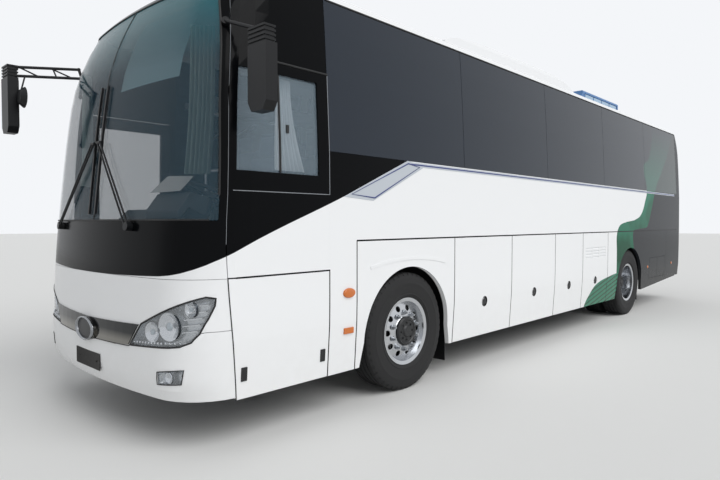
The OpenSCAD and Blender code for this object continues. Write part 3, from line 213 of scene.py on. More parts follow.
# %% Masks of the livery
def edge_curve(tree, along, points):
    """The second number of the points as a smooth function of the first."""
    lows = [min(p[k] for p in points) for k in (0, 1)]
    spans = [max(p[k] for p in points) - lows[k] for k in (0, 1)]
    share = add(tree, "ShaderNodeMath", (along, lows[0]), operation="SUBTRACT")
    share = add(tree, "ShaderNodeMath", (share, spans[0]), operation="DIVIDE")
    edge = add(tree, "ShaderNodeFloatCurve", {"Value": share})
    mapping = edge.node.mapping
    curve = mapping.curves[0]
    for x, y in sorted(points)[1:-1]:
        curve.points.new((x - lows[0]) / spans[0], (y - lows[1]) / spans[1])
    for point, (x, y) in ((curve.points[0], min(points)), (curve.points[-1], max(points))):
        point.location = ((x - lows[0]) / spans[0], (y - lows[1]) / spans[1])
    mapping.update()
    return add(tree, "ShaderNodeMath", (edge, spans[1], lows[1]), operation="MULTIPLY_ADD")


def over(tree, a, b, soft=0.003):
    """A mask that is 1 where a is over b and 0 where it is under."""
    gap = add(tree, "ShaderNodeMath", (a, b), operation="SUBTRACT")
    return add(tree, "ShaderNodeMath", (gap, 1 / soft, 0.5), operation="MULTIPLY_ADD", use_clamp=True)


def within(tree, value, low, high):
    """A mask that is 1 between two numbers."""
    span = (value, (low + high) / 2, (high - low) / 2)
    return add(tree, "ShaderNodeMath", span, operation="COMPARE")


def joined(tree, operation, first, *others):
    """Masks or shares joined into one: MULTIPLY where all have to hold, MAXIMUM where any does."""
    for other in others:
        first = add(tree, "ShaderNodeMath", (first, other), operation=operation)
    return first


def field_masks(tree):
    """The place along the bus, across it and up, and the masks of the green, grey and wedge fields."""
    x, across, z = place(tree)
    along = add(tree, "ShaderNodeMath", (x, FRONT_X), operation="SUBTRACT")
    under_roof = over(tree, ROOF_EDGE_Z, z)
    green, grey = (
        joined(tree, "MULTIPLY", over(tree, edge_curve(tree, z, edge), along), under_roof)
        for edge in (GREEN_EDGE, GREY_EDGE)
    )
    wedge = joined(
        tree, "MULTIPLY", over(tree, edge_curve(tree, along, WEDGE_EDGE), z),
        over(tree, along, WEDGE_BACK), over(tree, WEDGE_FRONT, along),
    )
    return along, across, z, green, grey, wedge


print("livery masks ready")

# %% [markdown]
# The gaps between panels draw the seams of the flaps and panels, and the shade in them is painted. The seams
# lie at known lengths and heights, so the enamel turns black in narrow bands there, as painted shade: a
# Compare node gives 1 within a few millimetres of a number. The service flap is on the left side only.

# %% Seams of the panels
SEAM_HALF = 0.0055
UPRIGHT_SEAMS = (0.70, -0.70, -1.849, -2.974, -3.853, -4.790)
BELT_SEAM_BACK = -8.26
SERVICE_BACK, SERVICE_FRONT = 1.005, 1.86
SERVICE_TOP = 1.150
SERVICE_SEAM_HALF = 0.006
LEFT_FROM_Y = 0.9


def seam_shade(tree, along, across, z):
    """1 on the seams of the belt, the luggage flaps and the service flap, which are painted black as shade.
    """
    belt = joined(
        tree, "MULTIPLY", within(tree, z, BELT_Z - 0.010, BELT_Z + 0.004),
        within(tree, along, BELT_SEAM_BACK, UPRIGHT_SEAMS[0]),
    )
    bands = [within(tree, along, x - SEAM_HALF, x + SEAM_HALF) for x in UPRIGHT_SEAMS]
    under_belt = add(tree, "ShaderNodeMath", (z, BELT_Z), operation="LESS_THAN")
    upright = joined(tree, "MULTIPLY", joined(tree, "MAXIMUM", *bands), under_belt)
    service_top = joined(
        tree, "MULTIPLY", within(tree, z, SERVICE_TOP - SERVICE_SEAM_HALF, SERVICE_TOP + SERVICE_SEAM_HALF),
        within(tree, along, SERVICE_BACK, SERVICE_FRONT),
    )
    below = add(tree, "ShaderNodeMath", (z, SERVICE_TOP + SERVICE_SEAM_HALF), operation="LESS_THAN")
    service_back = joined(
        tree, "MULTIPLY", within(tree, along, SERVICE_BACK - SEAM_HALF, SERVICE_BACK + SEAM_HALF), below
    )
    left = add(tree, "ShaderNodeMath", (across, LEFT_FROM_Y), operation="GREATER_THAN")
    service = joined(tree, "MULTIPLY", joined(tree, "MAXIMUM", service_top, service_back), left)
    return joined(tree, "MAXIMUM", belt, upright, service)


print(len(UPRIGHT_SEAMS), "upright seams on each side")

# %% [markdown]
# The enamel itself is one material for all painted panels, so that no colour edge breaks at a seam. The
# clear coat is its gloss: on the dark fields it is thinner here, so that they stay deep under the white
# studio. Dust makes the lowest panels a little warmer and duller.

# %% Coach enamel with the livery
DUST_TOP, DUST_FULL = 0.9, 0.3
DUST_SHARE = 0.14
COAT = 0.3
DARK_COAT_LOSS = 0.26


def coach_enamel():
    """Sprayed enamel under clear coat: even colour, soft mirror edges, a faint orange peel."""
    material, tree, shader = new_material(
        "coach_enamel_gloss", Roughness=0.22, IOR=1.5, Specular_IOR_Level=0.05,
        Coat_Weight=COAT, Coat_Roughness=0.04,
    )
    along, across, z, green, grey, wedge = field_masks(tree)
    # The wave carries painted light and shade: darker at its foot, lighter towards the window line, with
    # broad soft patches of painted shade and highlight between
    rise = add(tree, "ShaderNodeMapRange", (z, 0.9, 2.1))
    folds = add(tree, "ShaderNodeMapRange", (speckle(tree, 420, 1), 0.38, 0.62))
    half_shade_patches = add(tree, "ShaderNodeMath", (folds, 0.5), operation="MULTIPLY")
    wave_shading = add(tree, "ShaderNodeMath", (rise, 0.5, half_shade_patches), operation="MULTIPLY_ADD")
    wave = coats(tree, GREEN_DARK, (wave_shading, GREEN_LIGHT))
    # Thin darker lines run along the wedge, one to every 66 mm of height
    slant = add(tree, "ShaderNodeMath", (along, 22), operation="MULTIPLY")
    phase = add(tree, "ShaderNodeMath", (z, 95, slant), operation="MULTIPLY_ADD")
    lines = add(tree, "ShaderNodeMath", (phase,), operation="SINE")
    lined = coats(tree, GREEN_LIGHT, (over(tree, lines, 0.45, 0.3), GREEN_DARK))
    black = joined(
        tree, "MULTIPLY", over(tree, z, edge_curve(tree, along, BLACK_EDGE)),
        over(tree, along, BLACK_BACK), over(tree, ROOF_EDGE_Z, z),
    )
    low = add(tree, "ShaderNodeMapRange", (z, DUST_TOP, DUST_FULL))
    dust = joined(tree, "MULTIPLY", low, speckle(tree, 90, 6), DUST_SHARE)
    # On top of the fields and the dust, the seams are painted black as the shade in their gaps
    colour = coats(
        tree, WHITE, (green, wave), (wedge, lined), (grey, GREY), (black, BLACK), (dust, ROAD_DUST),
        (seam_shade(tree, along, across, z), BLACK),
    )
    dark = joined(tree, "MAXIMUM", black, grey, green)
    coat = add(tree, "ShaderNodeMath", (dark, -DARK_COAT_LOSS, COAT), operation="MULTIPLY_ADD")
    rough = add(tree, "ShaderNodeMath", (dust, 1.2, 0.18), operation="MULTIPLY_ADD")
    peel = {"Height": speckle(tree, 14), "Distance": 0.05 / 1000, "Strength": 0.3}
    feed(tree, shader, Base_Color=colour, Coat_Weight=coat, Roughness=rough)
    feed(tree, shader, Coat_Normal=add(tree, "ShaderNodeBump", peel))
    return material


enamel = coach_enamel()
print("enamel mixed with", len(enamel.node_tree.nodes), "nodes")

# %% [markdown]
# ## Plain finishes
# Most other materials differ in colour, gloss and grain only: a moulded plastic has a fine matt texture,
# a casting is coarser, a plated part nearly a mirror. One function makes them all, from the colour, the
# roughness, the size of the grain in millimetres and its depth. The tone also drifts a little over a
# hand's breadth, because no real surface is quite even.

# %% Plain finish
DRIFT_MM = 120
ROUGHNESS_SPREAD = 0.12


def plain(name, colour, roughness, grain_mm=4.0, depth_mm=0.05, variation=0.08, **values):
    """A finish with a slight change of tone and a fine relief."""
    material, tree, shader = new_material(name, Base_Color=colour, Roughness=roughness, **values)
    grain = speckle(tree, grain_mm, 4)
    darker = [c * (1 - variation * 3) for c in srgb(colour)[:3]] + [1]
    spread = (grain, ROUGHNESS_SPREAD, roughness - ROUGHNESS_SPREAD / 2)
    bumps = {"Height": grain, "Distance": depth_mm / 1000, "Strength": 0.5}
    feed(tree, shader, Base_Color=coats(tree, darker, (speckle(tree, DRIFT_MM, 5), srgb(colour))))
    feed(tree, shader, Roughness=add(tree, "ShaderNodeMath", spread, operation="MULTIPLY_ADD"))
    feed(tree, shader, Normal=add(tree, "ShaderNodeBump", bumps))
    return material


print("plain finish ready")

# %% [markdown]
# ## Glass, lenses and the bright bar
# Coach glass is laminated in the screen and toughened along the sides. In one glance the eye tells three
# tints: clear beside the driver, light in the door, and privacy glass along the saloon. The green wave
# and the grey field run over the rear panes as a printed film. A thin sheet of glass bends nothing, so
# its see-through share is set with Alpha, which costs less to render than refraction.

# %% Glass
def glass(name, colour, alpha, top_colour=None, top_alpha=None, top_z=(0, 1)):
    """Window glass: a dark or clear sheet whose see-through share may change with height."""
    material, tree, shader = new_material(
        name, Base_Color=colour, Roughness=0.03, IOR=1.52, Specular_IOR_Level=0.3, Alpha=alpha
    )
    if top_colour:
        share = add(tree, "ShaderNodeMapRange", (place(tree)[2], *top_z))
        cover = (share, top_alpha - alpha, alpha)
        feed(tree, shader, Base_Color=coats(tree, srgb(colour), (share, srgb(top_colour))))
        feed(tree, shader, Alpha=add(tree, "ShaderNodeMath", cover, operation="MULTIPLY_ADD"))
    return material


def film_glass():
    """Toughened side glass: clear for the driver, light in the door, dark with films along the saloon."""
    # The pane beside the driver is clear glass; its pale colour is a painted reflection of the sky
    driver_reflection, door_tint, saloon_tint = srgb("#8fa1ad"), srgb("#2c363d"), srgb("#17222f")
    green_film, grey_film = srgb("#14594a"), srgb("#1c2025")
    closed, opened = 0.95, 0.65
    material, tree, shader = new_material(
        "tinted_glass_side", Roughness=0.04, IOR=1.52, Specular_IOR_Level=0.35, Alpha=closed
    )
    along, across, z, green, grey, wedge = field_masks(tree)
    ahead = over(tree, along, 1.05, 0.01)
    left = add(tree, "ShaderNodeMath", (across, 0.5), operation="GREATER_THAN")
    # A printed film lets some of the dark glass through, more so towards the roof
    haze = joined(tree, "MULTIPLY", green, add(tree, "ShaderNodeMapRange", (z, 3.2, 2.3)))
    thin_grey = joined(tree, "MULTIPLY", grey, 0.8)
    front_tint_and_reflection = coats(tree, door_tint, (left, driver_reflection))
    colour = coats(tree, saloon_tint, (haze, green_film), (thin_grey, grey_film), (ahead, front_tint_and_reflection))
    alpha = add(tree, "ShaderNodeMath", (ahead, -opened, closed), operation="MULTIPLY_ADD")
    feed(tree, shader, Base_Color=colour, Alpha=alpha)
    return material


print("glass ready")

# %% [markdown]
# The bar between the headlamps is plated all over, with painted reflections: its upper half is darker and
# its lower half warm. The marker lamps are one kind of moulded lens: the amber turns to red where the tail
# begins, so one material serves them all.

# %% Bright bar and marker lenses
TAIL_LAMPS_FROM = -8.30


def bright_bar():
    """Chrome plate with painted reflections, darker in its upper half, as on the bar between the headlamps.
    """
    material, tree, shader = new_material("chrome_plated_trim_painted_reflection", Metallic=1.0)
    # Darker above and warm grey below: painted reflections on the plate
    share = add(tree, "ShaderNodeMapRange", (place(tree)[2], 0.70, 0.76))
    polish = (speckle(tree, 25, 3), 0.06, 0.05)
    feed(tree, shader, Base_Color=coats(tree, srgb("#84827d"), (share, srgb("#3b3c3d"))))
    feed(tree, shader, Roughness=add(tree, "ShaderNodeMath", polish, operation="MULTIPLY_ADD"))
    return material


def marker_lens():
    """Moulded acrylic with fine prisms: amber along the sides, red at the tail."""
    material, tree, shader = new_material("acrylic_lens_amber_and_red", Roughness=0.12, Coat_Weight=0.8)
    along = add(tree, "ShaderNodeMath", (place(tree)[0], FRONT_X), operation="SUBTRACT")
    tail = over(tree, TAIL_LAMPS_FROM, along)
    prisms = {"Height": speckle(tree, 6), "Distance": 0.2 / 1000, "Strength": 0.6}
    feed(tree, shader, Base_Color=coats(tree, srgb("#cc6a0e"), (tail, srgb("#a3101a"))))
    feed(tree, shader, Normal=add(tree, "ShaderNodeBump", prisms))
    return material


print("bar and lenses ready")

# %% [markdown]
# ## The list of finishes
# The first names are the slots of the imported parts, and the rest belong to pieces that this script adds.
# After the name come the colour, the roughness, the grain and its depth in millimetres, and how much the
# tone drifts. A metal's grain is broad and shallow, which bends its reflections a little, and cloth has a
# fine deep grain, drawn coarser than a real thread so that it shows.

# %% Finishes
finishes = {
    # Enamel, the same on every painted panel
    "white_paint": enamel,
    "black_paint": enamel,
    "grey_paint": enamel,
    # Glass and clear lenses: dark or clear, with a crisp reflection
    "side_glazing": film_glass(),
    # The screen's grey-teal colour, laid over 30 % of the pane, is partly the glass's tint and partly a
    # painted reflection of the sky
    "screen_glazing": glass("laminated_glass_screen", "#3d5664", 0.30, "#18707b", 0.65, (2.60, 3.10)),
    "lamp_lens": glass("polycarbonate_lens_clear", "#dfe4e8", 0.25),
    "amber_lens": marker_lens(),
    "projector_lens": plain("projector_lens_glass", "#9aa7b0", 0.05, 40, 0.0, 0.02, Coat_Weight=1.0),
    "display_dark": plain("display_glass_black", "#090b0d", 0.1, 60, 0.0, 0.02),
    # Plated, polished and metallised parts: mirrors, from cold and clear to smoked
    "bright_trim": plain("chrome_plated_trim", "#96989b", 0.09, 40, 0.01, 0.01, Metallic=1.0),
    "bar_painted_reflection": bright_bar(),
    "wheel_alloy": plain("forged_alloy_polished", "#c6c8cb", 0.2, 30, 0.02, 0.03, Metallic=1.0),
    "wheel_steel": plain("wheel_nuts_zinc_plated", "#b9bcc0", 0.3, 6, 0.05, Metallic=1.0),
    "lamp_dark": plain("lamp_housing_metallised", "#aeb2b6", 0.25, 30, 0.02, 0.04, Metallic=1.0),
    "reflector_bright": plain("reflector_vacuum_aluminised", "#c9ccd0", 0.06, 60, 0.01, 0.01, Metallic=1.0),
    "lamp_bezel": plain("lamp_bezel_smoked_chrome", "#3c4044", 0.15, 20, 0.0, 0.02, Metallic=1.0),
    "mirror_silver": plain("silvered_mirror_glass", "#e8ecef", 0.07, 300, 0.0, 0.0, Metallic=1.0),
    # Moulded plastics: a dull sheen, broken by the texture of the mould
    "black_plastic": plain("abs_moulded_black", "#0d0e11", 0.42, 1.5, 0.08, Specular_IOR_Level=0.3),
    "handle_black": plain("handle_glass_filled_nylon", "#131416", 0.4, 1.0, 0.1),
    "seat_shell": plain("seat_shell_moulded_grey", "#3a3d41", 0.5, 1.5, 0.1),
    "dash_soft": plain("dashboard_soft_skin", "#4a4d50", 0.65, 1.2, 0.15),
    "rack_grey": plain("parcel_rack_laminate_grey", "#9fa4a8", 0.5, 3, 0.05),
    "floor_vinyl": plain("vinyl_floor_grey", "#63666a", 0.6, 5, 0.2),
    # Rubber, and the pale grey of thin lines, which on the pillar is a painted highlight: matt, nearly
    # without a highlight
    "tyre_rubber": plain("tyre_rubber_black", "#151516", 0.75, 3, 0.15),
    "rubber_seal": plain("epdm_rubber_seal", "#101112", 0.6, 2, 0.1),
    "pale_line_grey": plain("pale_grey_line_matt", "#8b8f94", 0.6, 30, 0.0, 0.02),
    # Powder coat and chassis paint: even, with a broad soft highlight
    "cooler_paint": plain("powder_coat_blue", "#3f79b5", 0.35),
    "cooler_pale": plain("powder_coat_pale_blue", "#a9c6df", 0.4, 3, 0.05),
    "chassis_paint": plain("chassis_paint_satin_black", "#1a1b1d", 0.5),
    "hub_dark": plain("hub_cap_painted_black", "#1b1c1e", 0.4, 5, 0.1),
    # Films and sheets: flat and even
    "plate_blank": plain("aluminium_plate_white_film", "#eceff1", 0.35, 20, 0.02, 0.02, Coat_Weight=0.4),
    "plate_dark": plain("aluminium_plate_dark_film", "#171514", 0.5, 20, 0.02, 0.02, Specular_IOR_Level=0.2),
    "trim_silver": plain("trim_silver_film", "#c3c9d0", 0.3, 200, 0.0, 0.01, Metallic=0.3),
    "trim_blue": plain("trim_blue_film", "#2f3d7c", 0.35, 60, 0.0, 0.03),
    "paper_white": plain("paper_uncoated_white", "#f2f3f1", 0.9, 1.0, 0.02, 0.01),
    # Woven cloth: no highlight, only the grain of the weave
    "seat_fabric": plain("seat_cover_woven_blue", "#2b3c5c", 0.85, 2, 0.4),
    "seat_cloth": plain("seat_cover_woven_navy", "#2b3c5c", 0.85, 2.5, 0.4),
    "curtain_white": plain("curtain_cotton_white", "#dfe3e6", 0.85, 1.2, 0.3, 0.03),
    "curtain_grey": plain("curtain_cotton_grey_green", "#8ea09c", 0.85, 1.2, 0.3, 0.05),
    "blind_cloth": plain("roller_blind_cloth_teal", "#a5cbd4", 0.8, 1.2, 0.2, 0.03),
}
print(len(finishes), "finishes")

# %% [markdown]
# The imported nodes get the finish that their record names, apart from the bar between the headlamps,
# whose plating carries painted reflections. They are left as they are otherwise: their triangles already
# face outwards.

# %% Finishes on the imported nodes
slot_of = {part["node"]: part["material_slot"] for part in frame["record"]["subparts"]}
finish_of = {"grille_bar": "bar_painted_reflection"}
for name, piece in nodes.items():
    piece.data.materials.clear()
    piece.data.materials.append(finishes[finish_of.get(name, slot_of[name])])
print(len(nodes), "packed nodes have their finish")

# %% [markdown]
# ## Tools for shapes
# Every new piece starts from a simple mesh: a cube, a cone, a circle, or a few vertices that are spun or
# pushed out. The tools below wrap those operators, so that the cells after them read like a parts list.
# Each finished piece has its doubles merged and its normals recalculated, then rides on a body of the
# coach, so that a nut turns with its wheel and a handle lifts with its flap.

# %% Finished pieces
CAR = Vector((FRONT_X, 0, 0))


def at(x, y, z):
    """A point given from the front axle, in metres."""
    return CAR + Vector((x, y, z))


def new_piece(name, sheet, finish, body="chassis", sharp=35, bevel=0.0):
    """A finished piece from a bmesh: cleaned, shaded, riding on its body."""
    bmesh.ops.remove_doubles(sheet, verts=sheet.verts, dist=1e-5)
    bmesh.ops.recalc_face_normals(sheet, faces=sheet.faces)
    mesh = bpy.data.meshes.new(name)
    sheet.to_mesh(mesh)
    sheet.free()
    mesh.shade_smooth()
    mesh.set_sharp_from_angle(angle=math.radians(sharp))
    mesh.materials.append(finish)
    piece = bpy.data.objects.new(name, mesh)
    bpy.context.scene.collection.objects.link(piece)
    if bevel:
        edges = piece.modifiers.new("soft_edges", "BEVEL")
        edges.width = bevel
        edges.segments = 2
        edges.limit_method = "ANGLE"
    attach(piece, body)
    return piece


print("origin of the measures at the front axle, x", round(CAR.x, 3))

# %% [markdown]
# The shapes are few: a block, a rod that may taper, a solid spun about an axis, and a plate pushed out of
# an outline. Each adds to a bmesh, so that one piece can be made of several of them.

# %% Shapes
def block(sheet, low, high, turn=None):
    """A box between two corners, turned about its middle if asked."""
    low, high = Vector(low), Vector(high)
    size = Matrix.Diagonal((*(high - low), 1))
    spot = Matrix.Translation((low + high) / 2) @ (turn or Matrix()) @ size
    return bmesh.ops.create_cube(sheet, size=1, matrix=spot)["verts"]


def rod(sheet, a, b, radius, segments=16, tip=None):
    """A round or many-sided bar from a to b, which may taper to another radius."""
    turn = (b - a).to_track_quat("Z", "Y").to_matrix().to_4x4()
    spot = Matrix.Translation((a + b) / 2) @ turn
    bmesh.ops.create_cone(
        sheet, cap_ends=True, segments=segments, radius1=radius,
        radius2=radius if tip is None else tip, depth=(b - a).length, matrix=spot,
    )


def turned(sheet, profile, centre, axis, steps=64):
    """Spins (radius, offset along the axis) pairs: to a dish if they start at radius 0, else to a ring."""
    out = axis.orthogonal().normalized()
    verts = [sheet.verts.new(centre + out * r + axis * d) for r, d in profile]
    pairs = list(zip(verts, verts[1:]))
    if profile[0][0] > 0:
        pairs.append((verts[-1], verts[0]))
    edges = [sheet.edges.new(pair) for pair in pairs]
    bmesh.ops.spin(
        sheet, geom=verts + edges, cent=centre, axis=axis, angle=math.tau, steps=steps, use_merge=True
    )


def plate(sheet, outline, push):
    """A flat outline pushed out into a plate."""
    face = sheet.faces.new([sheet.verts.new(p) for p in outline])
    grown = bmesh.ops.extrude_face_region(sheet, geom=[face])["geom"]
    moved = [v for v in grown if isinstance(v, bmesh.types.BMVert)]
    bmesh.ops.translate(sheet, verts=moved, vec=push)


print("shape tools ready")

# %% [markdown]
# Seals and wires are drawn along a line and have the same thickness all the way, so they are curves with
# a round section. Where such a line follows a curved panel it needs a point every few centimetres.

# %% Beads along a path
def bead(name, paths, radius, finish, body="chassis", closed=False):
    """A round rubber or metal bead along one or more paths."""
    curve = bpy.data.curves.new(name, "CURVE")
    curve.dimensions = "3D"
    curve.bevel_depth = radius
    curve.bevel_resolution = 3
    curve.use_fill_caps = True
    for path in paths:
        spline = curve.splines.new("POLY")
        spline.points.add(len(path) - 1)
        for point, spot in zip(spline.points, path):
            point.co = (*spot, 1)
        spline.use_cyclic_u = closed
    curve.materials.append(finish)
    piece = bpy.data.objects.new(name, curve)
    bpy.context.scene.collection.objects.link(piece)
    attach(piece, body)
    return piece


def spaced(points, pitch, closed=False):
    """Points about a pitch apart along a line of pairs, which may close on itself."""
    ends = points[1:] + points[:1] if closed else points[1:]
    path = []
    for (a0, b0), (a1, b1) in zip(points, ends):
        steps = max(2, int(math.hypot(a1 - a0, b1 - b0) / pitch))
        path += [(a0 + (a1 - a0) * k / steps, b0 + (b1 - b0) * k / steps) for k in range(steps)]
    return path if closed else path + [points[-1]]


print("beads ready")

# %% [markdown]
# Many pieces lie on curved panels. A ray shot at a packed panel finds the point and the slope of its
# skin, and the piece is set down on that point. The side walls lean by a known line, so there a few
# heights and widths are enough.

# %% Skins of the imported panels
RAY_FROM_SIDE = 2.5


def skin_of(*names):
    """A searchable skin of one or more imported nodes."""
    sheet = bmesh.new()
    for name in names:
        sheet.from_mesh(nodes[name].data)
    tree = BVHTree.FromBMesh(sheet)
    sheet.free()
    return tree


def on_skin(skin, start, way, out=0.0):
    """The point where a ray meets a skin, moved out along the slope there."""
    point, normal = skin.ray_cast(start, Vector(way))[:2]
    return point + normal * out


FACE = skin_of("front_mask", "windscreen", "nose_panel", "front_bumper", "headlamps", "grille_bar")


def on_face(y, z, out=0.0, skin=FACE):
    """The point of the face at y and z."""
    return on_skin(skin, at(3.2, y, z), (-1, 0, 0), out)


def side_y(z):
    """Half the width of the body at a height, as the walls lean."""
    rows = (
        (0.32, 1.245), (0.72, 1.272), (0.88, 1.275), (1.375, 1.275), (2.065, 1.268), (2.655, 1.24),
        (3.01, 1.218), (3.245, 1.20),
    )
    for (z0, y0), (z1, y1) in zip(rows, rows[1:]):
        if z <= z1:
            return y0 + (y1 - y0) * max(0, z - z0) / (z1 - z0)
    return rows[-1][1]


def on_side(x, z, out=0.0, side=1):
    """A point on the side wall, from the front axle."""
    return at(x, side * (side_y(z) + out), z)


print("face skin ready, nose at", [round(v, 3) for v in on_face(0, 0.9)])

# %% [markdown]
# ## Pressed and moulded face panels
# The nose, bumper, mask and windscreen are drawn in one sweep on the real coach, so light runs over them
# without a break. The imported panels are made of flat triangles. A copy of each is merged into one skin
# and shaded smooth, with its edges kept sharp, and weighted normals keep the flat stretches flat.

# %% Smooth face panels
FACE_PANELS = ("nose_panel", "front_bumper", "front_mask", "windscreen", "front_dome")
CREASE = 28


def merged_copy(name):
    """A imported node's mesh with its loose triangles joined."""
    sheet = bmesh.new()
    sheet.from_mesh(nodes[name].data)
    bmesh.ops.remove_doubles(sheet, verts=sheet.verts, dist=1e-4)
    return sheet


def smooth_copy(name):
    """A merged copy of a packed panel whose normals run on over its shallow edges."""
    finish = nodes[name].data.materials[0]
    piece = new_piece(f"{name}_smooth", merged_copy(name), finish, sharp=CREASE)
    even = piece.modifiers.new("even_normals", "WEIGHTED_NORMAL")
    even.keep_sharp = True
    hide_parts(name)


for name in FACE_PANELS:
    smooth_copy(name)
print(len(FACE_PANELS), "face panels shaded smooth")

# %% [markdown]
# ## Tyres
# A coach tyre has a flat tread with four straight grooves, shoulder notches for grip, and a side wall
# with moulded rings. The section is drawn once as radius and offset and spun round the axle, because
# that is how the mould is cut. The shoulder notches come after the spin: every third shoulder face is
# pushed in by 4 mm.

# %% Tyres
TYRE_W = 0.29
BEAD_R = 0.286
TREAD_STEPS = 144
NOTCH_EVERY = 3
NOTCH_DEPTH = 0.004
GROOVE_MIDDLES = (0.0755, 0.026)
# Where the shoulder lies: offsets from the tyre's middle and radii
SHOULDER_IN, SHOULDER_OUT = 0.112, 0.15
SHOULDER_LOW, SHOULDER_TOP = 0.506, 0.5312


def tyre_section():
    """Radius and offset from the tyre's middle, round one section."""
    half = [
        (BEAD_R, 0.116), (BEAD_R + 0.02, 0.1165), (BEAD_R + 0.032, 0.127), (0.33, 0.134), (0.338, 0.1375),
        (0.344, 0.1345), (0.40, 0.1435), (0.43, 0.145), (0.436, 0.1465), (0.442, 0.1445), (0.468, 0.1425),
        (0.49, 0.138), (0.505, 0.132), (0.511, 0.130), (0.516, 0.125), (0.524, 0.1218), (0.5295, 0.1165),
        (0.5315, 0.110), (0.5315, 0.083),
    ]
    for groove_at in GROOVE_MIDDLES:
        half += [(0.5318, groove_at + 0.006), (0.5205, groove_at + 0.0045)]
        half += [(0.5205, groove_at - 0.0045), (0.5318, groove_at - 0.006)]
    return half + [(r, -y) for r, y in reversed(half)]


def tyre(sheet, centre):
    """One tyre, whose tread ends at the ground."""
    section = [(min(r, TYRE_R), y) for r, y in tyre_section()]
    turned(sheet, section, centre, Vector((0, 1, 0)), TREAD_STEPS)


def notch_shoulders(sheet, centres):
    """Pushes every third shoulder face inwards and returns their number."""
    bmesh.ops.remove_doubles(sheet, verts=sheet.verts, dist=1e-5)
    bmesh.ops.recalc_face_normals(sheet, faces=sheet.faces)
    chosen = []
    for face in sheet.faces:
        mid = face.calc_center_median()
        for centre in centres:
            arm = mid - centre
            radius = math.hypot(arm.x, arm.z)
            if SHOULDER_IN < abs(arm.y) < SHOULDER_OUT and SHOULDER_LOW < radius < SHOULDER_TOP:
                share = (math.atan2(arm.z, arm.x) + math.pi) / math.tau
                if round(share * TREAD_STEPS - 0.5) % NOTCH_EVERY == 0:
                    chosen.append(face)
    bmesh.ops.inset_region(sheet, faces=chosen, thickness=0.0008, depth=-NOTCH_DEPTH, use_boundary=True)
    return len(chosen)


for side in ("left", "right"):
    for axle, x in (("front", FRONT_X), ("rear", REAR_X)):
        name = f"tyre_{axle}_{side}"
        low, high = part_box(name)
        offsets = [low[1] + TYRE_W / 2, high[1] - TYRE_W / 2]
        sheet = bmesh.new()
        centres = [Vector((x, y, AXLE_Z)) for y in (offsets if axle == "rear" else offsets[:1])]
        for centre in centres:
            tyre(sheet, centre)
        count = notch_shoulders(sheet, centres)
        body = f"wheel_{axle}_{side}"
        piece = new_piece(f"{name}_treaded", sheet, finishes["tyre_rubber"], body)
        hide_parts(name)
print("tyres with", count, "shoulder notches each")

# %% [markdown]
# ## Wheels
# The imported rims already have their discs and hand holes. What is missing is what a mechanic touches:
# ten nuts with flanges on each disc, the ends of their studs, and the hub cap with its ring of bolts. They
# are hexagons and short rods set round the axle in a loop, and each set rides on its own wheel.

# %% Wheel nuts and hub caps
NUTS, NUT_CIRCLE = 10, 0.1675
CAP_BOLTS = 8
HUB_Y = 1.10


def wheel_fittings(side, axle, x, face, cap_r, cap_out):
    """Nuts on the disc and a cap on the hub. face is how far the disc lies out from the hub's middle."""
    out = Vector((0, side, 0))
    centre = Vector((x, side * HUB_Y, AXLE_Z))
    sheet = bmesh.new()
    for k in range(NUTS):
        turn = math.tau * (k + 0.5) / NUTS
        foot = centre + Vector((math.cos(turn), 0, math.sin(turn))) * NUT_CIRCLE + out * face
        # A flange, the hexagon on it and the end of the stud
        rod(sheet, foot, foot + out * 0.008, 0.024, 24)
        rod(sheet, foot + out * 0.008, foot + out * 0.030, 0.0185, 6, 0.0175)
        rod(sheet, foot + out * 0.030, foot + out * 0.044, 0.011, 12)
    label = f"{axle}_{'left' if side > 0 else 'right'}"
    new_piece(f"wheel_nuts_{label}", sheet, finishes["wheel_steel"], f"wheel_{label}")
    cap = bmesh.new()
    # A raised cap in the middle, a shallow ring for the bolts and a rounded outer rim
    section = [
        (0, 0.011), (0.36, 0.009), (0.44, -0.003), (0.74, -0.003), (0.80, 0.004), (0.93, 0.002),
        (1, -0.010), (1, -0.05), (0, -0.05),
    ]
    turned(cap, [(cap_r * share, cap_out + rise) for share, rise in section], centre, out, 48)
    for k in range(CAP_BOLTS):
        turn = math.tau * k / CAP_BOLTS
        foot = centre + Vector((math.cos(turn), 0, math.sin(turn))) * cap_r * 0.59 + out * (cap_out - 0.004)
        rod(cap, foot, foot + out * 0.010, 0.0085, 6)
    new_piece(f"hub_cap_{label}", cap, finishes["hub_dark"], f"wheel_{label}")


for side in (1, -1):
    wheel_fittings(side, "front", FRONT_X, 0.094, 0.132, 0.138)
    wheel_fittings(side, "rear", REAR_X, -0.143, 0.096, 0.034)
print(NUTS, "nuts a wheel")

# %% [markdown]
# ## Headlamps
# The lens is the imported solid. A lamp looks deep only if there is something behind its lens, so a bright
# housing is made from a copy of the same solid: its doubles are merged, its front faces are taken off,
# and what is left is a bowl that follows the panel cut-out. Round reflectors are spun inside it.

# %% Headlamp housings
FRONT_SHARE = 0.45
LENS_GAP, BOWL_WALL = 0.0015, 0.002
# Lens faces that look away from this point, which lies in the cab, are its front
INSIDE = at(1.15, 0, 0.8)


def housing(name, source, finish):
    """A bowl left when the front of a lens is taken away, a little smaller than the lens."""
    sheet = merged_copy(source)
    bmesh.ops.recalc_face_normals(sheet, faces=sheet.faces)
    front = []
    for face in sheet.faces:
        away = face.calc_center_median() - INSIDE
        away.z = 0
        if face.normal.dot(away.normalized()) > FRONT_SHARE:
            front.append(face)
    bmesh.ops.delete(sheet, geom=front, context="FACES")
    for vert in sheet.verts:
        vert.co -= vert.normal * LENS_GAP
    bmesh.ops.solidify(sheet, geom=sheet.faces, thickness=BOWL_WALL)
    return new_piece(name, sheet, finish, sharp=25)


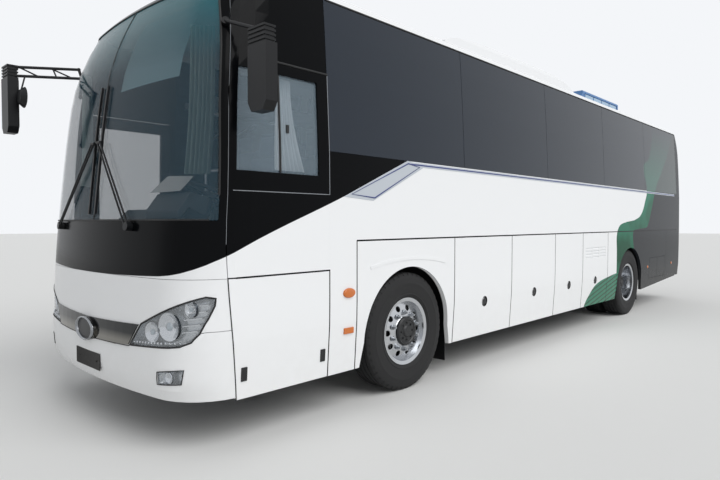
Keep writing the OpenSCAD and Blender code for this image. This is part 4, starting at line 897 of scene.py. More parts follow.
bowl = housing("headlamp_housings", "headlamps", finishes["lamp_dark"])
print("housings with", len(bowl.data.polygons), "faces")

# %% [markdown]
# Three round reflectors sit in each housing. A reflector is a deep dish, the projector a small dome in
# its middle, and the bezel a smoked ring that stands a little proud round it. All three are spun about
# the same axis, which looks ahead and slightly outwards.

# %% Headlamp reflectors and bezels
# Distance from the middle of the coach, height, radius
LAMP_BOWLS = ((0.865, 0.790, 0.068), (1.020, 0.838, 0.094), (1.150, 0.955, 0.052))
LAMP_DEPTH = 0.016
BOWL_SECTION = (
    (0, -0.037), (0.2, -0.036), (0.5, -0.030), (0.8, -0.016), (0.96, -0.001), (1, 0.0), (1, -0.004),
    (0.83, -0.019), (0.5, -0.033), (0, -0.039),
)
PROJECTOR_SECTION = ((0, 0.006), (0.26, 0.0), (0.3, -0.012), (0, -0.034))
BEZEL_SECTION = ((1, -0.004), (1.03, 0.002), (1.11, -0.001), (1.13, -0.012), (1, -0.012))


def lamp_rounds(name, section, steps, finish, sharp):
    """One spun shape in each round of both headlamps; its radii are shares of the round's own."""
    sheet = bmesh.new()
    for side in (1, -1):
        ahead = Vector((1, side * 0.25, 0)).normalized()
        for y, z, radius in LAMP_BOWLS:
            profile = [(radius * share, depth) for share, depth in section]
            turned(sheet, profile, on_face(side * y, z, -LAMP_DEPTH), ahead, steps)
    new_piece(name, sheet, finishes[finish], sharp=sharp)


lamp_rounds("headlamp_reflectors", BOWL_SECTION, 40, "reflector_bright", 60)
lamp_rounds("headlamp_projectors", PROJECTOR_SECTION, 24, "projector_lens", 60)
lamp_rounds("headlamp_bezels", BEZEL_SECTION, 40, "lamp_bezel", 50)
print(len(LAMP_BOWLS) * 2, "reflectors")

# %% [markdown]
# Beside the rounds, each lamp has five slanted blades and a row of small round light points along its
# lower edge. A rubber seal closes the gap between the lens and the panels.

# %% Headlamp blades and seals
BLADES, BLADE_PITCH = 5, 0.042
LIGHT_POINTS, POINT_PITCH = 14, 0.032

blades = bmesh.new()
back = Vector((0.05, 0, 0))
for side in (1, -1):
    for k in range(BLADES):
        z = 0.800 + BLADE_PITCH * k
        shift = 0.008 * k
        inner = on_face(side * (1.105 + shift), z, -0.010)
        outer = on_face(side * (1.185 + shift), z + 0.012, -0.010)
        plate(blades, [inner, outer, outer - back, inner - back], Vector((0, 0, 0.006)))
    for k in range(LIGHT_POINTS):
        bead_at = on_face(side * (0.69 + POINT_PITCH * k), 0.708 + 0.0022 * k, -0.006)
        bmesh.ops.create_icosphere(blades, subdivisions=1, radius=0.009, matrix=Matrix.Translation(bead_at))
new_piece("headlamp_blades", blades, finishes["reflector_bright"])


def outline_on_face(points, grow=0.0, out=0.0):
    """A closed outline given as (y, z), laid on the face, with points every few centimetres."""
    middle_y = sum(p[0] for p in points) / len(points)
    middle_z = sum(p[1] for p in points) / len(points)
    path = []
    for y, z in spaced(points, 0.03, closed=True):
        away = Vector((y - middle_y, z - middle_z)).normalized() * grow
        path.append(on_face(y + away.x, z + away.y, out))
    return path


LAMP_EDGE = [
    (0.636, 0.679), (0.767, 0.839), (0.942, 0.917), (1.067, 0.974), (1.154, 1.012), (1.212, 1.036),
    (1.242, 1.026), (1.240, 0.977), (1.223, 0.893), (1.194, 0.798), (1.160, 0.742), (1.105, 0.714),
    (1.044, 0.706),
]
lamp_seals = [outline_on_face([(side * y, z) for y, z in LAMP_EDGE], -0.001, 0.001) for side in (1, -1)]
bead("headlamp_seals", lamp_seals, 0.006, finishes["rubber_seal"], closed=True)
print(BLADES * 2, "blades and", LIGHT_POINTS * 2, "light points")

# %% [markdown]
# ## Front fittings
# The bumper carries a blank plate and two fog lamps, and the bright bar has a plated ring round its blank
# boss. The plate is a flat sheet with a raised rim, screwed to the bumper, so it is a thin block that is
# inset and pushed in rather than a texture.

# %% Fog lamps and plate
FOG_EDGE = [(0.935, 0.455), (1.100, 0.468), (1.122, 0.562), (0.944, 0.538)]
FOG_SECTION = (
    (0, -0.018), (0.018, -0.016), (0.034, -0.004), (0.036, 0.003), (0.040, 0.0), (0.040, -0.022),
    (0, -0.022),
)

fog_seals = [outline_on_face([(side * y, z) for y, z in FOG_EDGE], 0.002, 0.002) for side in (1, -1)]
bead("fog_lamp_seals", fog_seals, 0.0035, finishes["rubber_seal"], closed=True)
fog = bmesh.new()
for side in (1, -1):
    ahead = Vector((1, side * 0.2, 0)).normalized()
    turned(fog, FOG_SECTION, on_face(side * 1.025, 0.507, 0.001), ahead, 32)
new_piece("fog_lamp_reflectors", fog, finishes["reflector_bright"])


def blank_plate(name, centre, width, height, ahead, finish="plate_blank"):
    """A blank plate with a pressed rim, facing along ahead, which is 1 or -1."""
    sheet = bmesh.new()
    corners = (
        centre - Vector((0, width / 2, height / 2)),
        centre + Vector((ahead * 0.004, width / 2, height / 2)),
    )
    block(sheet, [min(pair) for pair in zip(*corners)], [max(pair) for pair in zip(*corners)])
    front = max(sheet.faces, key=lambda face: face.calc_center_median().x * ahead)
    bmesh.ops.inset_region(sheet, faces=[front], thickness=0.008, depth=-0.0015)
    for share in (-0.36, 0.36):
        screw = centre + Vector((ahead * 0.0025, share * width, 0))
        rod(sheet, screw, screw + Vector((ahead * 0.003, 0, 0)), 0.006, 12)
    return new_piece(name, sheet, finishes[finish], bevel=0.0006)


blank_plate("front_plate", on_face(0, 0.49) + Vector((0.001, 0, 0)), 0.44, 0.125, 1, "plate_dark")
print("fog lamps and plate placed")

# %% [markdown]
# The boss in the middle of the bar is an oval lying down, so its ring and its disc are spun round and
# then pressed to a little over half their height.

# %% Boss of the bright bar
BOSS_Z, BOSS_SQUASH = 0.722, 0.545
BOSS_RING = (
    (0.160, 0.0), (0.165, 0.004), (0.161, 0.014), (0.150, 0.018), (0.138, 0.012), (0.132, 0.004),
    (0.132, 0.0),
)
BOSS_DISC = ((0, 0.0045), (0.09, 0.0035), (0.131, 0.001), (0.131, -0.001), (0, -0.001))

bar_front = max(v.co.x for v in nodes["grille_bar"].data.vertices)
for name, section, finish, slot in (
    ("boss_ring", BOSS_RING, "bright_trim", "bright_trim"),
    ("boss_disc_blank", BOSS_DISC, "hub_dark", "black_plastic"),
):
    sheet = bmesh.new()
    turned(sheet, section, Vector(), Vector((1, 0, 0)), 64)
    bmesh.ops.scale(sheet, verts=sheet.verts, vec=(1, 1, BOSS_SQUASH))
    bmesh.ops.translate(sheet, verts=sheet.verts, vec=(bar_front, 0, BOSS_Z))
    new_piece(name, sheet, finishes[finish], sharp=60)
print("front fittings placed")

# %% [markdown]
# ## Seals and trim lines
# Glass sits in rubber. A dark bead runs round each half of the windscreen, along the top of the side
# windows under the roof edge, and round the driver's window. A silver line with a blue core runs under
# the side windows and ends in a blank silver badge ahead of the first pane.

# %% Windscreen and window seals
GLASS = skin_of("windscreen", "front_mask")
ROOF_SEAL_Z = 3.238
SEAM_IN = 0.002

# The outermost points of the windscreen in ten rows are its upright edge
screen = nodes["windscreen"].data.vertices
screen_low = min(v.co.z for v in screen)
screen_high = max(v.co.z for v in screen)
rows = {}
for vert in screen:
    row = round((vert.co.z - screen_low) / (screen_high - screen_low) * 10)
    if row not in rows or vert.co.y > rows[row].y:
        rows[row] = vert.co.copy()
edge = [rows[k] for k in sorted(rows)]


def row_across(z, half, count=25):
    """Points across the face at one height; an odd count steps over the seam in the middle."""
    return [on_face(half * (1 - 2 * k / count), z, 0.001, GLASS) for k in range(count + 1)]


middle_seal = []
for k in range(13):
    height = screen_low + SEAM_IN + (screen_high - screen_low - 2 * SEAM_IN) * k / 12
    beside = on_face(0.015, height, -0.002, GLASS)
    middle_seal.append(Vector((beside.x, 0, beside.z)))
flank = [p + Vector((0.002, 0.002, 0)) for p in edge[1:-1]]
other_flank = [Vector((p.x, -p.y, p.z)) for p in flank]
seal_paths = [
    row_across(screen_low + SEAM_IN, edge[0].y - 0.03),
    row_across(screen_high - SEAM_IN, edge[-1].y - 0.03),
    middle_seal,
]
bead("windscreen_seals", seal_paths, 0.007, finishes["rubber_seal"])
bead("windscreen_flank_seals", [flank, other_flank], 0.008, finishes["rubber_seal"])

roof_seals = [
    [on_side(x, ROOF_SEAL_Z, 0.001, side) for x in (0.98, 0.0, -2.0, -4.0, -6.0, -8.40)] for side in (1, -1)
]
bead("roof_edge_seals", roof_seals, 0.0075, finishes["rubber_seal"])
print("windscreen seals in", len(seal_paths), "runs")

# %% [markdown]
# The silver line is a film on the real coach, 36 mm high with a 12 mm blue core. It is made as a plate of
# 3 mm here, so that its edge catches the light. The badge at its front end is a slanted field that the
# line runs into, with a thin blue line round it.

# %% Trim line and blank badge under the windows
TRIM_FRONT, TRIM_BACK = 0.0, -8.246
BADGE = [(0.846, 1.724), (0.04, 2.068), (-0.215, 2.033), (0.500, 1.700)]
BADGE_LINE = [(0.760, 1.746), (0.032, 2.043), (-0.130, 2.020), (0.485, 1.724)]

trim = bmesh.new()
core = bmesh.new()
for side in (1, -1):
    for sheet, z0, z1, out in ((trim, 2.022, 2.058, 0.003), (core, 2.034, 2.046, 0.0045)):
        corners = ((TRIM_FRONT, z0), (TRIM_BACK, z0), (TRIM_BACK, z1), (TRIM_FRONT, z1))
        plate(sheet, [on_side(x, z, 0, side) for x, z in corners], Vector((0, side * out, 0)))
badge = bmesh.new()
plate(badge, [on_side(x, z) for x, z in BADGE], Vector((0, 0.003, 0)))
line = [on_side(x, z, 0.003) for x, z in BADGE_LINE]
bead("badge_line", [line], 0.006, finishes["trim_blue"], closed=True)
new_piece("window_trim", trim, finishes["trim_silver"], bevel=0.001)
new_piece("window_trim_core", core, finishes["trim_blue"])
new_piece("side_badge_blank", badge, finishes["trim_silver"], bevel=0.001)
print("trim line", round(TRIM_FRONT - TRIM_BACK, 2), "m long")

# %% [markdown]
# ## Mirrors
# Each head is a moulded shell with a pane of silvered glass in its back, which faces the driver. The pane
# is a thin plate with a bevelled rim inside a rubber edge.

# %% Mirror panes
HEAD_IN, HEAD_OUT = 1.443, 1.607
CORNER = 0.03


def mirror_pane(name, x, side, low, high):
    """A pane on the back of a head, with cut lower corners and a rubber edge."""
    outline = [
        (HEAD_IN + CORNER, low), (HEAD_OUT - CORNER, low), (HEAD_OUT, low + 1.6 * CORNER),
        (HEAD_OUT, high - 0.01), (HEAD_IN, high - 0.01), (HEAD_IN, low + 1.6 * CORNER),
    ]
    sheet = bmesh.new()
    plate(sheet, [at(x, side * y, z) for y, z in outline], Vector((-0.004, 0, 0)))
    new_piece(name, sheet, finishes["mirror_silver"], bevel=0.001)
    rim = [at(x - 0.002, side * y, z) for y, z in outline]
    bead(f"{name}_edge", [rim], 0.004, finishes["rubber_seal"], closed=True)


mirror_pane("mirror_pane_right", 2.36, -1, 2.36, 2.83)
mirror_pane("mirror_pane_left", 1.78, 1, 2.24, 2.63)
spot = bmesh.new()
spot_section = ((0, 0.010), (0.05, 0.008), (0.086, 0.0), (0.086, -0.003), (0, -0.003))
turned(spot, spot_section, at(2.34, -1.345, 2.655), Vector((-1, 0, 0)), 40)
new_piece("mirror_pane_spot", spot, finishes["mirror_silver"])
lamp = bmesh.new()
block(lamp, at(2.375, -1.6195, 2.862), at(2.44, -1.600, 2.918))
new_piece("mirror_side_lamp", lamp, finishes["amber_lens"], bevel=0.006)
print("mirrors have panes")

# %% [markdown]
# ## Seats
# A coach seat is foam under a stretched cover: the cushion and the back crown in the middle, pull in
# between their corners and dip along the sewn channels. Each pad starts as a cut cube with that form in
# small, before it is blown up.

# %% Cut form of a pad
CHANNEL_WIDTH, CHANNEL_PRESS = 0.12, 0.4
PULL = 0.03
RIM_SHARE = 0.62


def pad_mesh(width, length, thick, channels):
    """A crowned pad about its own middle: width along Y, length along X, thickness along Z."""
    sheet = bmesh.new()
    bmesh.ops.create_cube(sheet, size=2)
    for axis, cuts in ((1, 15), (0, 9)):
        edges = [e for e in sheet.edges if abs(e.verts[0].co[axis] - e.verts[1].co[axis]) > 1]
        bmesh.ops.subdivide_edges(sheet, edges=edges, cuts=cuts, use_grid_fill=True)
    for vert in sheet.verts:
        u, v, w = vert.co
        crown = (1 - u ** 4) * (1 - v ** 4)
        dips = sum(math.exp(-(((v - c) / CHANNEL_WIDTH) ** 2)) for c in channels)
        press = dips * CHANNEL_PRESS if w > 0 else 0
        pull_x = 1 - PULL * (1 - v * v) * abs(u)
        pull_y = 1 - PULL * (1 - u * u) * abs(v)
        rise = RIM_SHARE + (1 - RIM_SHARE) * crown - press * crown
        vert.co = (u * length / 2 * pull_x, v * width / 2 * pull_y, w * thick / 2 * rise)
    return sheet


print("pads crown by", round(1 - RIM_SHARE, 2), "of their thickness")

# %% [markdown]
# The skin of the cut pad is made even by a voxel remesh and blown up by a cloth simulation with pressure,
# which gives the taut swell of a filled cover. How far it may swell is capped, so that the seats keep
# their size. Each kind of pad is blown up once, and copies of its mesh are joined for all rows.

# %% Pads blown up
CLOTH_STEPS = 20
PRESSURE = 4
VOXEL = 0.02
SWELL_LIMIT = 0.008


def evaluated(piece):
    """The mesh of a piece with its modifiers applied, as data of its own."""
    graph = bpy.context.evaluated_depsgraph_get()
    return bpy.data.meshes.new_from_object(piece.evaluated_get(graph))


def blown_up(pad):
    """The mesh of a pad after a cloth simulation with pressure."""
    cover = pad.modifiers.new("cover", "CLOTH")
    cover.settings.use_pressure = True
    cover.settings.uniform_pressure_force = PRESSURE
    cover.settings.effector_weights.gravity = 0
    for frame_at in range(1, CLOTH_STEPS + 1):
        bpy.context.scene.frame_set(frame_at)
    return evaluated(pad)


def inflate(sheet):
    """The pad after its cover is blown up from inside, by the limit at the most."""
    mesh = bpy.data.meshes.new("pad_cut")
    sheet.to_mesh(mesh)
    sheet.free()
    pad = bpy.data.objects.new("pad_cut", mesh)
    bpy.context.scene.collection.objects.link(pad)
    even = pad.modifiers.new("even", "REMESH")
    even.mode = "VOXEL"
    even.voxel_size = VOXEL
    start = evaluated(pad)
    pad.modifiers.clear()
    pad.data = start
    blown = blown_up(pad)
    result = bmesh.new()
    result.from_mesh(blown)
    for vert, first in zip(result.verts, start.vertices):
        move = vert.co - first.co
        vert.co = first.co + move * min(1, SWELL_LIMIT / max(move.length, 1e-6))
    bpy.data.objects.remove(pad)
    bpy.context.scene.frame_set(1)
    return result


CHANNELS = (-0.5, 0.5)
cushion = inflate(pad_mesh(0.42, 0.375, 0.115, CHANNELS))
backrest = inflate(pad_mesh(0.42, 0.52, 0.085, CHANNELS))
headrest = inflate(pad_mesh(0.29, 0.165, 0.07, ()))
print("pads blown up:", len(cushion.faces), len(backrest.faces), len(headrest.faces), "faces")

# %% [markdown]
# The seats stand in pairs on both sides of the aisle, one row every 780 mm. Each seat has a moulded shell
# behind its back, and each pair a beam on two legs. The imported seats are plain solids, and these pads
# stand for them.

# %% Seats in rows
SEAT_ROWS = 11
SEAT_PITCH = 0.78
FIRST_ROW_X = 0.30
DECK_Z = 1.35
AISLE_SEAT_Y, SEAT_APART = 0.49, 0.47
PAIR_MIDDLE_Y = AISLE_SEAT_Y + SEAT_APART / 2
BACK_LEAN = Matrix.Rotation(math.radians(80.4), 4, "Y")
SHELL_SECTION = ((-0.055, 0.36), (-0.125, 0.97), (-0.110, 0.98), (-0.035, 0.36))
BEAM_Z = DECK_Z + 0.34


def add_pad(sheet, source, place_at):
    """A copy of a pad's mesh set down in another."""
    copy = source.copy()
    bmesh.ops.transform(copy, matrix=place_at, verts=copy.verts)
    mesh = bpy.data.meshes.new("pad_copy")
    copy.to_mesh(mesh)
    copy.free()
    sheet.from_mesh(mesh)
    bpy.data.meshes.remove(mesh)


def seat_pair(pads, frames, side, x):
    """Two seats side by side, with their shells and the beam and legs under them."""
    for seat in (0, 1):
        y = side * (AISLE_SEAT_Y + SEAT_APART * seat)
        add_pad(pads, cushion, Matrix.Translation(at(x + 0.245, y, DECK_Z + 0.400)))
        add_pad(pads, backrest, Matrix.Translation(at(x - 0.020, y, DECK_Z + 0.705)) @ BACK_LEAN)
        add_pad(pads, headrest, Matrix.Translation(at(x - 0.085, y, DECK_Z + 1.05)) @ BACK_LEAN)
        shell = [at(x + along, y - 0.2, DECK_Z + rise) for along, rise in SHELL_SECTION]
        plate(frames, shell, Vector((0, 0.4, 0)))
    foot = side * PAIR_MIDDLE_Y
    block(frames, at(x + 0.08, foot - 0.30, DECK_Z), at(x + 0.30, foot - 0.26, BEAM_Z))
    block(frames, at(x + 0.08, foot + 0.26, DECK_Z), at(x + 0.30, foot + 0.30, BEAM_Z))
    block(frames, at(x + 0.05, foot - 0.42, BEAM_Z - 0.025), at(x + 0.40, foot + 0.42, BEAM_Z))


for side, label in ((1, "left"), (-1, "right")):
    pads = bmesh.new()
    frames = bmesh.new()
    for row in range(SEAT_ROWS):
        seat_pair(pads, frames, side, FIRST_ROW_X - SEAT_PITCH * row)
    piece = new_piece(f"seat_pads_{label}", pads, finishes["seat_cloth"], sharp=80)
    if side > 0:
        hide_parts("passenger_seats")
    new_piece(f"seat_frames_{label}", frames, finishes["seat_shell"], bevel=0.004)
print(SEAT_ROWS * 4, "passenger seats padded")

# %% [markdown]
# The driver's seat is wider and rides on a bellows, whose folds are four blocks of two widths in turn.

# %% Driver's seat
DRIVER_Y = 0.66
driver_pads = bmesh.new()
lean = Matrix.Rotation(math.radians(83), 4, "Y")
for width, length, thick, channels, spot, turn in (
    (0.45, 0.44, 0.12, CHANNELS, at(1.40, DRIVER_Y, 1.395), Matrix()),
    (0.45, 0.62, 0.11, CHANNELS, at(1.15, DRIVER_Y, 1.76), lean),
    (0.27, 0.17, 0.085, (), at(1.095, DRIVER_Y, 2.145), lean),
):
    add_pad(driver_pads, inflate(pad_mesh(width, length, thick, channels)), Matrix.Translation(spot) @ turn)
driver = new_piece("driver_seat_pads", driver_pads, finishes["seat_cloth"], sharp=80)
soft = driver.modifiers.new("rounded", "SUBSURF")
soft.levels = soft.render_levels = 1
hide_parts("driver_seat")
stand = bmesh.new()
block(stand, at(1.25, 0.56, 0.95), at(1.50, 0.76, 1.10))
block(stand, at(1.22, 0.50, 1.26), at(1.56, 0.82, 1.32))
for k in range(4):
    low = 1.10 + 0.04 * k
    swell = 0.008 * (k % 2)
    block(stand, at(1.27 - swell, 0.58, low), at(1.48 + swell, 0.74, low + 0.04))
new_piece("driver_seat_stand", stand, finishes["seat_shell"], bevel=0.004)
print("driver's pads have", len(driver.data.polygons), "faces")

# %% [markdown]
# ## Curtains and blind
# Cloth hangs in folds that are tight where it is gathered on its rail and looser at the hem. A grid gives
# the cloth; each column is carried along the rail and pushed out in a wave, and the wave grows from top
# to bottom. The cut width of the cloth is the length of that wave, which the cell measures and prints.

# %% Curtains and blind
def curtain(name, top, foot, z_top, z_low, folds, depth, finish):
    """Gathered cloth between two points of a rail (top) and two of its hem. Returns its cut width."""
    columns, levels = folds * 10, 14
    sheet = bmesh.new()
    bmesh.ops.create_grid(sheet, x_segments=columns, y_segments=levels, size=0.5)
    sideways = Vector((top[1][1] - top[0][1], top[0][0] - top[1][0], 0)).normalized()
    for vert in sheet.verts:
        u, v = vert.co.x + 0.5, 0.5 - vert.co.y
        ease = v * v
        start = Vector((*top[0], 0)).lerp(Vector((*foot[0], 0)), ease)
        end = Vector((*top[1], 0)).lerp(Vector((*foot[1], 0)), ease)
        wave = math.sin(math.tau * folds * u) + 0.25 * math.sin(math.tau * (folds * 0.37 * u + v))
        spot = start.lerp(end, u) + sideways * wave * depth * (0.55 + 0.45 * v)
        vert.co = CAR + Vector((spot.x, spot.y, z_top + (z_low - z_top) * v))
    area = sum(face.calc_area() for face in sheet.faces)
    piece = new_piece(name, sheet, finish, sharp=80)
    drop = z_top - z_low
    return round(area / drop, 2)


# Name, rail, hem, height of the rail and of the hem, folds, depth of a fold and finish
CURTAINS = (
    ("cab_curtain_left", ((1.445, 1.165), (1.30, 1.165)), ((1.445, 1.16), (1.16, 1.165)),
     2.56, 1.90, 7, 0.020, "curtain_white"),
    ("screen_curtain_left", ((1.98, 0.93), (1.86, 1.05)), ((2.02, 0.90), (1.90, 1.04)),
     2.86, 1.85, 6, 0.026, "curtain_grey"),
    ("screen_curtain_right", ((1.86, -1.04), (1.98, -0.92)), ((1.90, -1.03), (2.02, -0.89)),
     2.86, 1.85, 6, 0.026, "curtain_grey"),
)
widths = [curtain(*row[:-1], finishes[row[-1]]) for row in CURTAINS]
print("curtains cut to", widths, "m")

# %% [markdown]
# The roller blind is one flat cloth that follows the curve of the screen 90 mm behind it: a grid whose
# points are set down on the face and moved in.

# %% Roller blind
BLIND_Y, BLIND_WIDTH = 0.44, 0.80
BLIND_Z, BLIND_DROP = 2.84, 0.58
BLIND_IN = 0.09

blind = bmesh.new()
bmesh.ops.create_grid(blind, x_segments=24, y_segments=8, size=0.5)
for vert in blind.verts:
    u, v = vert.co.xy
    vert.co = on_face(BLIND_Y + u * BLIND_WIDTH, BLIND_Z + v * BLIND_DROP, -BLIND_IN, GLASS)
blind_area = sum(face.calc_area() for face in blind.faces)
blind_piece = new_piece("screen_blind", blind, finishes["blind_cloth"], sharp=80)
print("blind", round(blind_area / BLIND_DROP, 2), "m wide")

# %% [markdown]
# ## Inside the cab and the saloon
# Through the big windscreen the eye looks for a few things: the instrument hood, a shelf over the
# dashboard and hand rails at the steps. They are simple pushed-out outlines, blocks and rods.

# %% Cab fittings
HOOD = ((1.835, 1.562), (1.80, 1.70), (1.95, 1.735), (2.05, 1.60), (2.04, 1.545), (1.962, 1.622))
SHELF = ((1.90, 1.33), (1.92, 1.45), (2.02, 1.48), (2.10, 1.43), (2.10, 1.33))
RAIL_X, RAIL_R = 0.99, 0.016
RAIL_OUT, RAIL_IN = -0.50, 0.02

hood = bmesh.new()
plate(hood, [at(x, 0.38, z) for x, z in HOOD], Vector((0, 0.48, 0)))
new_piece("instrument_hood", hood, finishes["dash_soft"], bevel=0.008)
dials = bmesh.new()
block(dials, at(1.806, 0.41, 1.585), at(1.809, 0.83, 1.675), Matrix.Rotation(math.radians(-14), 4, "Y"))
new_piece("instrument_panel", dials, finishes["display_dark"], bevel=0.001)
desk = bmesh.new()
plate(desk, [at(x, -0.94, z) for x, z in SHELF], Vector((0, 0.83, 0)))
new_piece("dashboard_shelf", desk, finishes["dash_soft"], bevel=0.01)
rails = bmesh.new()
for y in (RAIL_OUT, RAIL_IN):
    rod(rails, at(RAIL_X, y, 1.36), at(RAIL_X, y, 2.30), RAIL_R, 20)
    rod(rails, at(RAIL_X, y, 2.30), at(0.80, y, 2.42), RAIL_R, 20)
rod(rails, at(RAIL_X, RAIL_OUT, 2.02), at(RAIL_X, RAIL_IN, 2.02), RAIL_R, 20)
new_piece("hand_rails", rails, finishes["wheel_steel"])
print("cab fitted")

# %% [markdown]
# Parcel racks run along both sides of the saloon, with reading lamps under them and a light strip in the
# ceiling. A rack is one section pushed out over the whole length. A ray shot upwards finds the ceiling
# over each hanger, so that the hangers end in it.

# %% Parcel racks and ceiling lamps
RACK_SECTION = (
    (1.15, 2.74), (0.86, 2.70), (0.80, 2.73), (0.80, 2.80), (0.84, 2.86), (0.85, 2.76), (1.13, 2.80),
)
RACK_BACK, RACK_FRONT = -8.10, 0.85
RACK_HANGERS = 7
HANGER_IN = 0.1
STRIP_Y = 0.62
READING_Y = 0.99
ROOF = skin_of("roof")

racks = bmesh.new()
strips = bmesh.new()
for side in (1, -1):
    section = [at(RACK_BACK, side * y, z) for y, z in RACK_SECTION]
    plate(racks, section, Vector((RACK_FRONT - RACK_BACK, 0, 0)))
    for k in range(RACK_HANGERS):
        x = RACK_BACK + HANGER_IN + (RACK_FRONT - RACK_BACK - 2 * HANGER_IN) * k / (RACK_HANGERS - 1)
        foot = at(x, side * 0.822, 2.79)
        ceiling = on_skin(ROOF, foot, (0, 0, 1))
        block(racks, foot - Vector((0.02, 0.012, 0)), ceiling + Vector((0.02, 0.012, 0.003)))
    block(strips, at(-8.0, side * STRIP_Y - 0.03, 3.325), at(0.8, side * STRIP_Y + 0.03, 3.335))
    for row in range(SEAT_ROWS):
        x = FIRST_ROW_X + 0.15 - SEAT_PITCH * row
        y = side * READING_Y
        block(strips, at(x - 0.11, y - 0.07, 2.694), at(x + 0.11, y + 0.07, 2.715))
new_piece("parcel_racks", racks, finishes["rack_grey"], bevel=0.004)
new_piece("ceiling_lamps", strips, finishes["plate_blank"])
print("racks hang on", RACK_HANGERS * 2, "hangers")

# %% [markdown]
# ## Panel gaskets and latches
# Black rubber fills the seams of the face and outlines the driver's window. The service flap has two
# black flush handles, and each handle is a rounded block with a finger recess inset into it.

# %% Gaskets of the nose and the driver's window
NOSE_EDGE = [(0.002, 0.658), (0.63, 0.672), (0.69, 0.698)]
SILL_LINE = [(1.87, 1.733), (1.0, 1.733), (1.0, 2.65)]
HEAD_LINE = [(1.0, 2.652), (1.72, 2.652)]
POST_LINE = [(1.468, 1.875), (1.468, 2.565)]

# The ray would pass through the open seam, so the points are taken 14 mm above it and let down by 12 mm
nose_seams = [
    [on_face(side * y, z + 0.014) - Vector((0, 0, 0.012)) for y, z in spaced(NOSE_EDGE, 0.04)]
    for side in (1, -1)
]
bead("nose_seams", nose_seams, 0.003, finishes["rubber_seal"])
FLANK = skin_of(
    "cab_side_left", "side_wall_left", "service_door_left", "front_mask", "cabin_glass", "windscreen"
)


def on_flank(x, z, out=0.0):
    """The point of the left side at x from the front axle and z."""
    return on_skin(FLANK, at(x, RAY_FROM_SIDE, z), (0, -1, 0), out)


def flank_run(points, out):
    """Points every 5 cm along a line on the left side."""
    return [on_flank(x, z, out) for x, z in spaced(points, 0.05)]


bead("driver_window_line", [flank_run(SILL_LINE, 0.0)], 0.003, finishes["pale_line_grey"])
window_seals = [flank_run(HEAD_LINE, 0.001), flank_run(POST_LINE, -0.002)]
bead("driver_window_seals", window_seals, 0.008, finishes["rubber_seal"])
print("gaskets placed")

# %% [markdown]
# The handles of the service flap follow the lean of the wall: a block is set down on the panel and then
# sheared by the wall's slope, so that all of its face stands 8 mm proud.

# %% Handles of the service flap
WALL_SLOPE = 0.067
HANDLE_SPOTS = ((1.791, 0.491), (1.067, 0.497))

handles = bmesh.new()
for x, z in HANDLE_SPOTS:
    foot = on_flank(x, z)
    corner = Vector((0.024, 0.0, 0.048))
    low = foot - corner - Vector((0, 0.010, 0))
    for vert in block(handles, low, foot + corner + Vector((0, 0.008, 0))):
        vert.co.y += WALL_SLOPE * (vert.co.z - foot.z)
handles.normal_update()
outer = [face for face in handles.faces if face.normal.y > 0.9]
bmesh.ops.inset_individual(handles, faces=outer, thickness=0.007, depth=-0.003)
new_piece(
    "service_flap_handles", handles, finishes["handle_black"], "service_flap_left",
    bevel=0.003,
)
print(len(HANDLE_SPOTS), "handles on the service flap")

# %% [markdown]
# Each luggage flap has a round latch: a black cup in the pressed recess and a cap on the knob, with a
# finger bar across it. The last flap on each side has pressed louvres, and a leaning slat fills each of
# its slots.

# %% Latches and louvres
LATCH_Z = 0.68
LATCH_CUP = (
    (0.0545, -0.001), (0.0545, -0.0155), (0.0345, -0.0155), (0.0345, -0.014), (0.052, -0.013),
    (0.053, -0.001),
)
LATCH_CAP = ((0, 0.0005), (0.030, 0.0), (0.0335, -0.002), (0.0335, -0.0029), (0, -0.0029))
SLOT_X, SLOT_PITCH_X, SLOT_LENGTH = -4.688, 0.2533, 0.2293
SLOT_Z, SLOT_PITCH_Z = 1.003, 0.04275
SLAT_SECTION = ((0.002, 0), (-0.014, 0.0235), (-0.017, 0.0235), (-0.003, 0))

for side, label in ((1, "left"), (-1, "right")):
    out = Vector((0, side, 0))
    for k in range(1, 5):
        low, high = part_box(f"flap_{label}_{k}")
        centre = Vector(((low[0] + high[0]) / 2, side * side_y(LATCH_Z), LATCH_Z))
        latch = bmesh.new()
        turned(latch, LATCH_CUP, centre, out, 40)
        turned(latch, LATCH_CAP, centre, out, 40)
        block(latch, centre - Vector((0.026, 0.001, 0.006)), centre + Vector((0.026, 0.001, 0.006)))
        body = f"luggage_flap_{label}_{k}"
        new_piece(f"flap_latch_{label}_{k}", latch, finishes["handle_black"], body)
    slots = bmesh.new()
    for row in range(4):
        for column in range(3):
            x0, z0 = SLOT_X + SLOT_PITCH_X * column, SLOT_Z + SLOT_PITCH_Z * row
            section = [at(x0, side * (side_y(z0) + y), z0 + z) for y, z in SLAT_SECTION]
            plate(slots, section, Vector((SLOT_LENGTH, 0, 0)))
    body = f"luggage_flap_{label}_4"
    new_piece(f"louvre_slats_{label}", slots, finishes["white_paint"], body)
print("latches and louvres placed")

# %% [markdown]
# Amber lamps mark the sides. At the tail they are small round domes. Ahead of the front wheel an oval
# lamp, made as a round dome and stretched, lies over a wide reflector.

# %% Side markers
MARKER_DOME = ((0, 0.010), (0.018, 0.008), (0.026, 0.002), (0.026, -0.002), (0, -0.002))
OVAL_DOME = ((0, 0.019), (0.030, 0.0175), (0.0375, 0.0145), (0.040, 0.006), (0.040, -0.002), (0, -0.002))
OVAL_STRETCH = 1.65
REAR_MARKERS_X, REAR_MARKERS_Z = (-6.685, -8.10), 0.735
MARKER_X, LAMP_Z, REFLECTOR_Z = 0.795, 0.956, 0.653

